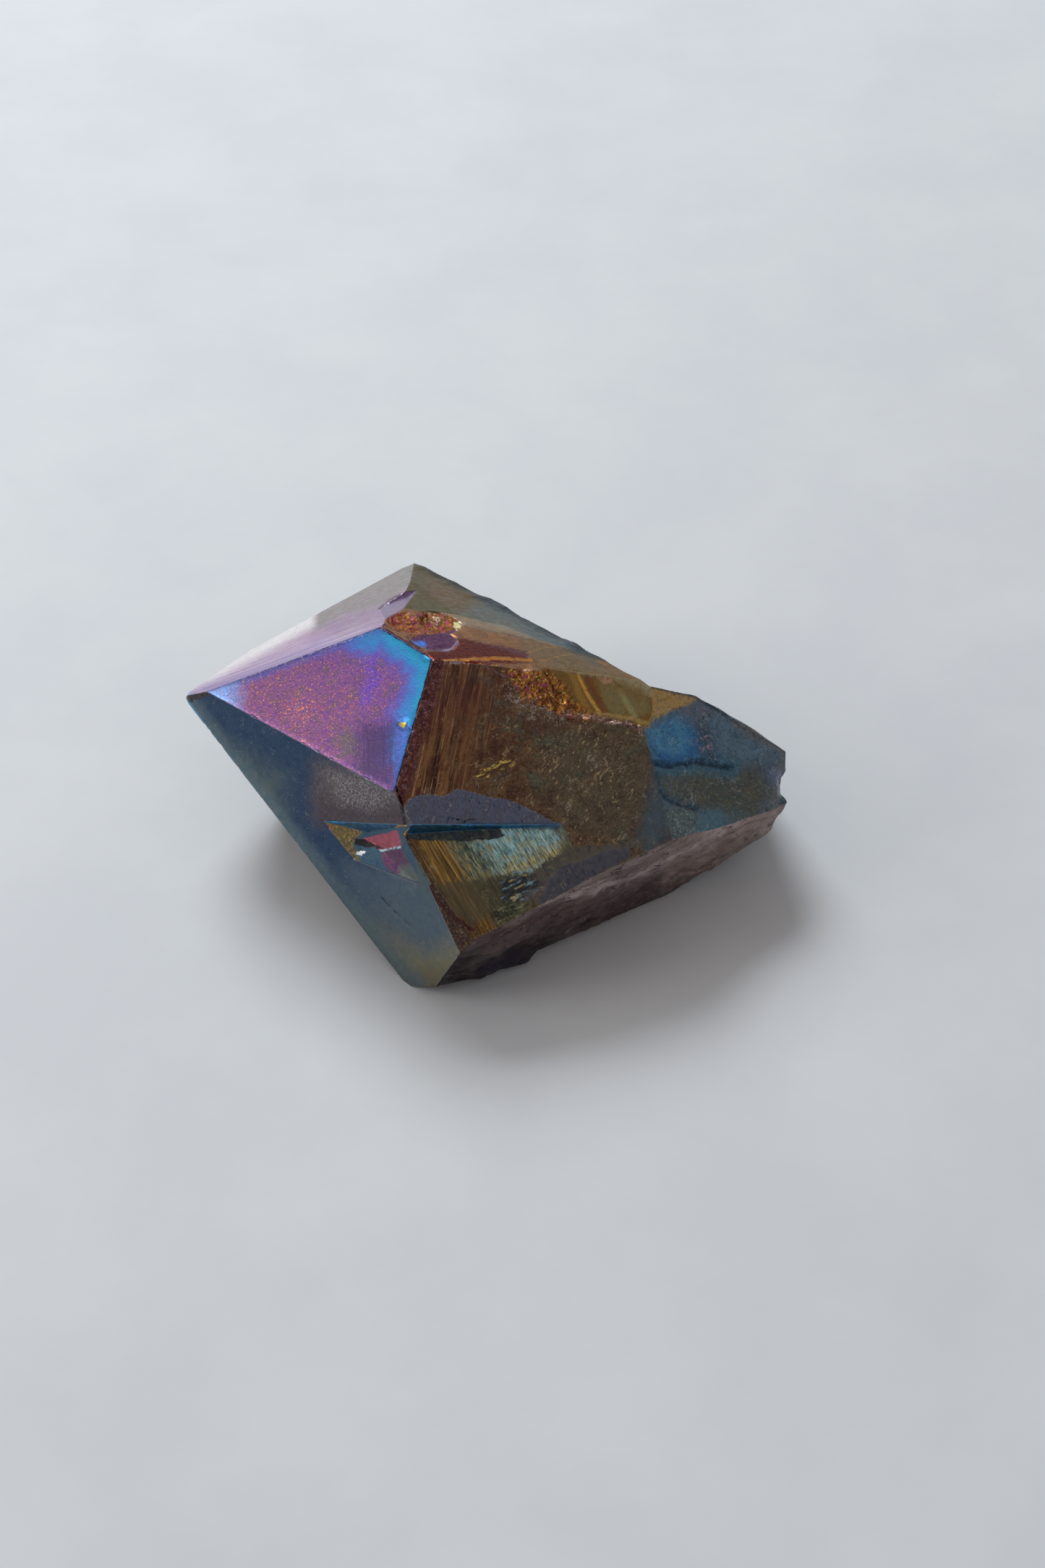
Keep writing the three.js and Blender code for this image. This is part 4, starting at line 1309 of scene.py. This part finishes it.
def paint_back():
    p = Paint("back", 0.92, (0.32, 0.5), gain=0.95)
    p.lay(p.mottle(7.0, 0x3C4660, 0x544864, 0x625054, 0x5C5442, 0x425058, detail=2))
    p.spots(p.mottle(1.4, 0x3A363A, 0x544C46, 0x464450, detail=5, roughness=0.7), 2.2, 0.42, 0.6, 0.7,
            detail=5, roughness=0.7)
    p.specks(0.2, 5, (0x28242C, 0.45, 0.36, 0.5), (0x968C80, 0.56, 0.66, 0.4))
    p.filaments(0x1C181E, 1.4, 0.7, width=0.02)
    worn_edge(p, 0x827C7E, 0.08, 0.4)
    p.raise_by(p.noise(0.5, 5, roughness=0.7), 0.12)
    return p.finish()


def paint_chip():
    p = Paint("chip", 0.92, (0.24, 0.44))
    p.lay(p.mottle(0.8, 0x561A54, 0x601E36, 0x844A2E, 0x705C32, 0x964C3E, 0x46163C, detail=5,
                   roughness=0.72))
    p.specks(0.26, 5, (0x240C1E, 0.47, 0.4, 0.85), (0xD68A36, 0.55, 0.61, 0.75))
    p.spots(0xFCD696, 0.24, 0.62, 0.67, 0.85, detail=5, roughness=0.8)
    p.spots(0xA83E82, 0.3, 0.56, 0.62, 0.7, roughness=0.8)
    p.spots(0xE8C4B0, 0.2, 0.5, 0.58, 0.85, p.within("white_bits", 0.2, 0.3, 0.3), detail=3)
    p.fill(p.mottle(0.4, 0x48304A, 0x5A3E56, 0x543240), "crescent", 0.05, 0.08)
    p.fill(0x4674C0, "cyan_bit", 0.16, 0.16, size=0.3)
    p.draw(0x96849C, "crescent_rim", 0.03, 0.14, 0.06, 0.7)
    p.fill(0xDAC896, "sparkles", 0.08, 0.24, 0.9, size=0.25)
    worn_edge(p, 0x82606E, 0.07, 0.4)
    p.raise_by(p.noise(0.4, 5, roughness=0.75), 0.34)
    return p.finish()


def paint_notch():
    p = Paint("notch", 0.9, (0.24, 0.42))
    p.lay(p.mottle(0.4, 0x2C4252, 0x384A56))
    p.fill(p.mottle(0.2, 0x2E383C, 0x484636, 0x705C38, 0x92844A, detail=5, roughness=0.75), "gold_notch",
           0.2, 0.3)
    p.draw(p.mottle(0.3, 0x782C2E, 0x924638), "notch_rim", 0.08, 0.35, 0.2, 0.8)
    p.fill(p.mottle(0.4, 0x783C36, 0x844254, 0x8C5442, detail=5), "coral", 0.08, 0.06)
    p.fill(p.mottle(0.6, 0x3E2E50, 0x54344A, 0x48424C), "purple_notch", 0.12, 0.08)
    p.lay(0x4E5852, p.both(p.within("purple_notch", 0.1, 0.1), p.within("green_corner", 0.4, 0.2)), 0.9)
    # The darkest sliver at the bottom of the notch's groove: painted shade.
    p.fill(0x242222, "dark_sliver", 0.08, 0.08)
    p.draw(0x96BACE, "sparkle_line", 0.03, 0.14, 0.06, 0.85, size=0.3)
    p.fill(0xECF0FA, "sparkle", 0.04, 0.1, 0.9, size=0.3)
    worn_edge(p, 0x3C2C2C, 0.1, 0.5)
    p.raise_by(p.noise(0.18, 4), 0.03)
    return p.finish()


def paint_wear():
    p = Paint("wear", 0.85, (0.3, 0.55))
    p.lay(p.mottle(0.22, 0x1C1414, 0x2E221E, 0x403228, 0x74624E, detail=5, roughness=0.75))
    p.draw(0x2E1618, "red_seam", 0.05, 0.25, 0.1, 0.8)
    p.raise_by(p.noise(0.15, 4), 0.05)
    return p.finish()


def paint_under():
    p = Paint("under", 0.88, (0.34, 0.5))
    p.lay(p.mottle(1.8, 0x423428, 0x343E4E, 0x503C54, 0x4A4636, detail=5))
    p.specks(0.2, 5, (0x221C1A, 0.45, 0.36, 0.5), (0x70685C, 0.56, 0.66, 0.4))
    p.raise_by(p.noise(0.2, 3, STRIAE_TOP, 12), 0.02)
    return p.finish()


PAINTS = {
    "pearl": paint_pearl, "step": paint_step, "kite": paint_kite, "navy": paint_navy,
    "bronze": paint_bronze, "gilt": paint_gilt, "ledge": paint_ledge, "olive": paint_olive,
    "copper": paint_copper, "fold": paint_fold, "bark": paint_bark, "slate": paint_slate,
    "back": paint_back, "chip": paint_chip, "notch": paint_notch, "wear": paint_wear,
    "under": paint_under,
}


# ---- the crystal's surface ----
def soft_normals(spots, faces, pairs):
    """Outward directions at the points, evened out."""
    normals, _ = normals_and_areas(spots, faces)
    total = np.zeros_like(spots)
    np.add.at(total, faces, normals[:, None])
    return unit_rows(spread(unit_rows(total), pairs, NORMAL_ROUNDS))


def zone_shares(count, faces, zones, pairs):
    """How much of each kind of surface there is at each point."""
    shares = np.zeros((count, len(ZONE_NAMES)))
    np.add.at(shares, (faces, zones[:, None]), 1.0)
    return spread(shares / shares.sum(1)[:, None], pairs, ZONE_ROUNDS)


def wear(spots, crystal, fields):
    """Lumps along the skyline, less what is worn off the ridges and the tip, in mm."""
    lumps = rise(fields["skyline"], 1.0, 0.2) * layered_noise(crystal * 0.3, 2, 63)
    chips = rise(layered_noise(crystal * 1.3, 3, 61), 0.05, 0.5)
    exposed = 0.3 + 0.7 * rise(np.minimum(fields["right_edge"], fields["skyline"]), 0.4, 0.9)
    at_ridge = (1 - np.clip(fields["ridge"] / RIDGE_REACH, 0, 1)) ** 2
    tip = spots[spots[:, 0].argmin()]
    nose = 1 - np.clip(np.linalg.norm(spots - tip, axis=1) / NOSE_REACH, 0, 1)
    worn = exposed * (RIDGE_WEAR + CHIP_WEAR * chips) * at_ridge + NOSE_WEAR * nose**2
    return LUMP_HEIGHT * lumps - worn


def placed(name, data):
    """A new object in the scene."""
    thing = bpy.data.objects.new(name, data)
    bpy.context.collection.objects.link(thing)
    return thing


def write_piece(spots, faces, zones, fields):
    """The mesh in metres, with its distances in mm and a material for each kind of surface."""
    mesh = bpy.data.meshes.new("quartz_point_surface")
    mesh.from_pydata((spots * MM).tolist(), [], faces.tolist())
    for name, values in fields.items():
        attribute = mesh.attributes.new(name, "FLOAT", "POINT")
        attribute.data.foreach_set("value", values.astype(np.float32))
    for zone in ZONE_NAMES:
        mesh.materials.append(PAINTS[zone]())
    mesh.polygons.foreach_set("material_index", zones.astype(np.int32))
    mesh.polygons.foreach_set("use_smooth", np.ones(len(faces), bool))
    mesh.update()
    return placed("quartz_point_surface", mesh)


def crystal_surface():
    """The solid's surface in fine triangles, with its wear, relief and paints."""
    points, triangles = cad_triangles(bpy.data.objects["quartz_point"])
    normals, areas = normals_and_areas(points, triangles)
    edges, owners = edges_and_owners(triangles)
    labels = flat_groups(points, triangles, normals, areas, owners)
    visible = normals @ TOWARDS_CAMERA > VISIBLE_LIMIT
    spots, faces, groups = fine_mesh(points, triangles, labels, normals, edges, owners, visible)
    zones = zones_of_groups(points, triangles, normals, areas, labels)[groups]
    pairs = np.unique(sides(faces), axis=0)

    fields = {}
    folds, outward = creases(points, triangles, labels, normals, areas, edges, owners)
    for name, kind in (("ridge", outward), ("valley", ~outward)):
        fields[name] = line_distance(spots, *points[folds[kind]].transpose(1, 0, 2), EDGE_REACH)
    fold_distance = np.minimum(fields["ridge"], fields["valley"])

    # The facets of scoops and breaks are rounded off, and the large flat faces stay.
    firm = fold_distance < FIRM_REACH
    firm[faces[np.bincount(labels, areas)[groups] > FLAT_AREA].ravel()] = True
    for _ in range(SCOOP_ROUNDS):
        spots = np.where(firm[:, None], spots, spread(spots, pairs, 1))

    outwards = soft_normals(spots, faces, pairs)
    shares = zone_shares(len(spots), faces, zones, pairs)
    pixels = to_pixels(spots)
    for outlines, closed in ((PATCHES, True), (LINES, False)):
        for name, outline in outlines.items():
            fields[name] = outline_distance(pixels, outline, closed)

    crystal = spots @ LYING
    seen = outwards @ TOWARDS_CAMERA > VISIBLE_LIMIT
    height = seen * patch_relief(fields, crystal, shares[:, ZONE_NAMES.index("bronze")])
    fields["height"] = np.zeros(len(spots))
    for column, zone in enumerate(ZONE_NAMES):
        own = shares[:, column] > 0.01
        fields["height"][own] += shares[own, column] * relief(zone, crystal[own])
    fade = 0.35 + 0.65 * rise(fold_distance, 0, 0.8)
    height += fields["height"] * fade + wear(spots, crystal, fields)
    height[(spots[:, 2] < GROUND_CLEARANCE) & (height > 0)] = 0
    spots = spots + outwards * height[:, None]
    spots[:, 2] = np.maximum(spots[:, 2], 0)
    return write_piece(spots, faces, zones, fields)


crystal = crystal_surface()
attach(crystal, "root")
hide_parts("quartz_point")


# ---- floor, light and camera ----
def floor_piece():
    mesh = bpy.data.meshes.new("floor")
    corners = [(x * FLOOR_HALF, y * FLOOR_HALF, 0) for x, y in ((-1, -1), (1, -1), (1, 1), (-1, 1))]
    mesh.from_pydata(corners, [], [(0, 1, 2, 3)])
    p = Paint("floor", 0.0, 0.6, gain=1.0)
    p.lay(p.mottle(14, *FLOOR_TONES, low=0.35, high=0.65))
    mesh.materials.append(p.finish())
    return placed("floor", mesh)


def area_light(name, place, size, power, colour):
    data = bpy.data.lights.new(name, "AREA")
    data.shape = "DISK"
    data.size = size
    data.energy = power
    data.color = colour
    lamp = placed(name, data)
    lamp.location = place
    lamp.rotation_euler = (-Vector(place)).to_track_quat("-Z", "Y").to_euler()


def sky():
    world = bpy.data.worlds.new("sky")
    world.use_nodes = True
    background = world.node_tree.nodes["Background"]
    background.inputs["Color"].default_value = (*linear(SKY_TONE), 1.0)
    background.inputs["Strength"].default_value = SKY_STRENGTH
    bpy.context.scene.world = world


def camera():
    data = bpy.data.cameras.new("camera")
    data.lens = LENS
    data.sensor_width = SENSOR
    data.clip_start = 0.01
    data.clip_end = 10
    eye = placed("camera", data)
    eye.location = Vector(CAMERA_PLACE) * MM
    eye.rotation_euler = (math.radians(CAMERA_TILT), 0, 0)
    bpy.context.scene.camera = eye


floor_piece()
sky()
area_light("back_window", BACK_PLACE, BACK_SIZE, BACK_POWER, WINDOW_TONE)
area_light("side_window", SIDE_PLACE, SIDE_SIZE, SIDE_POWER, SIDE_TONE)
camera()
bpy.context.scene.view_settings.view_transform = "Standard"
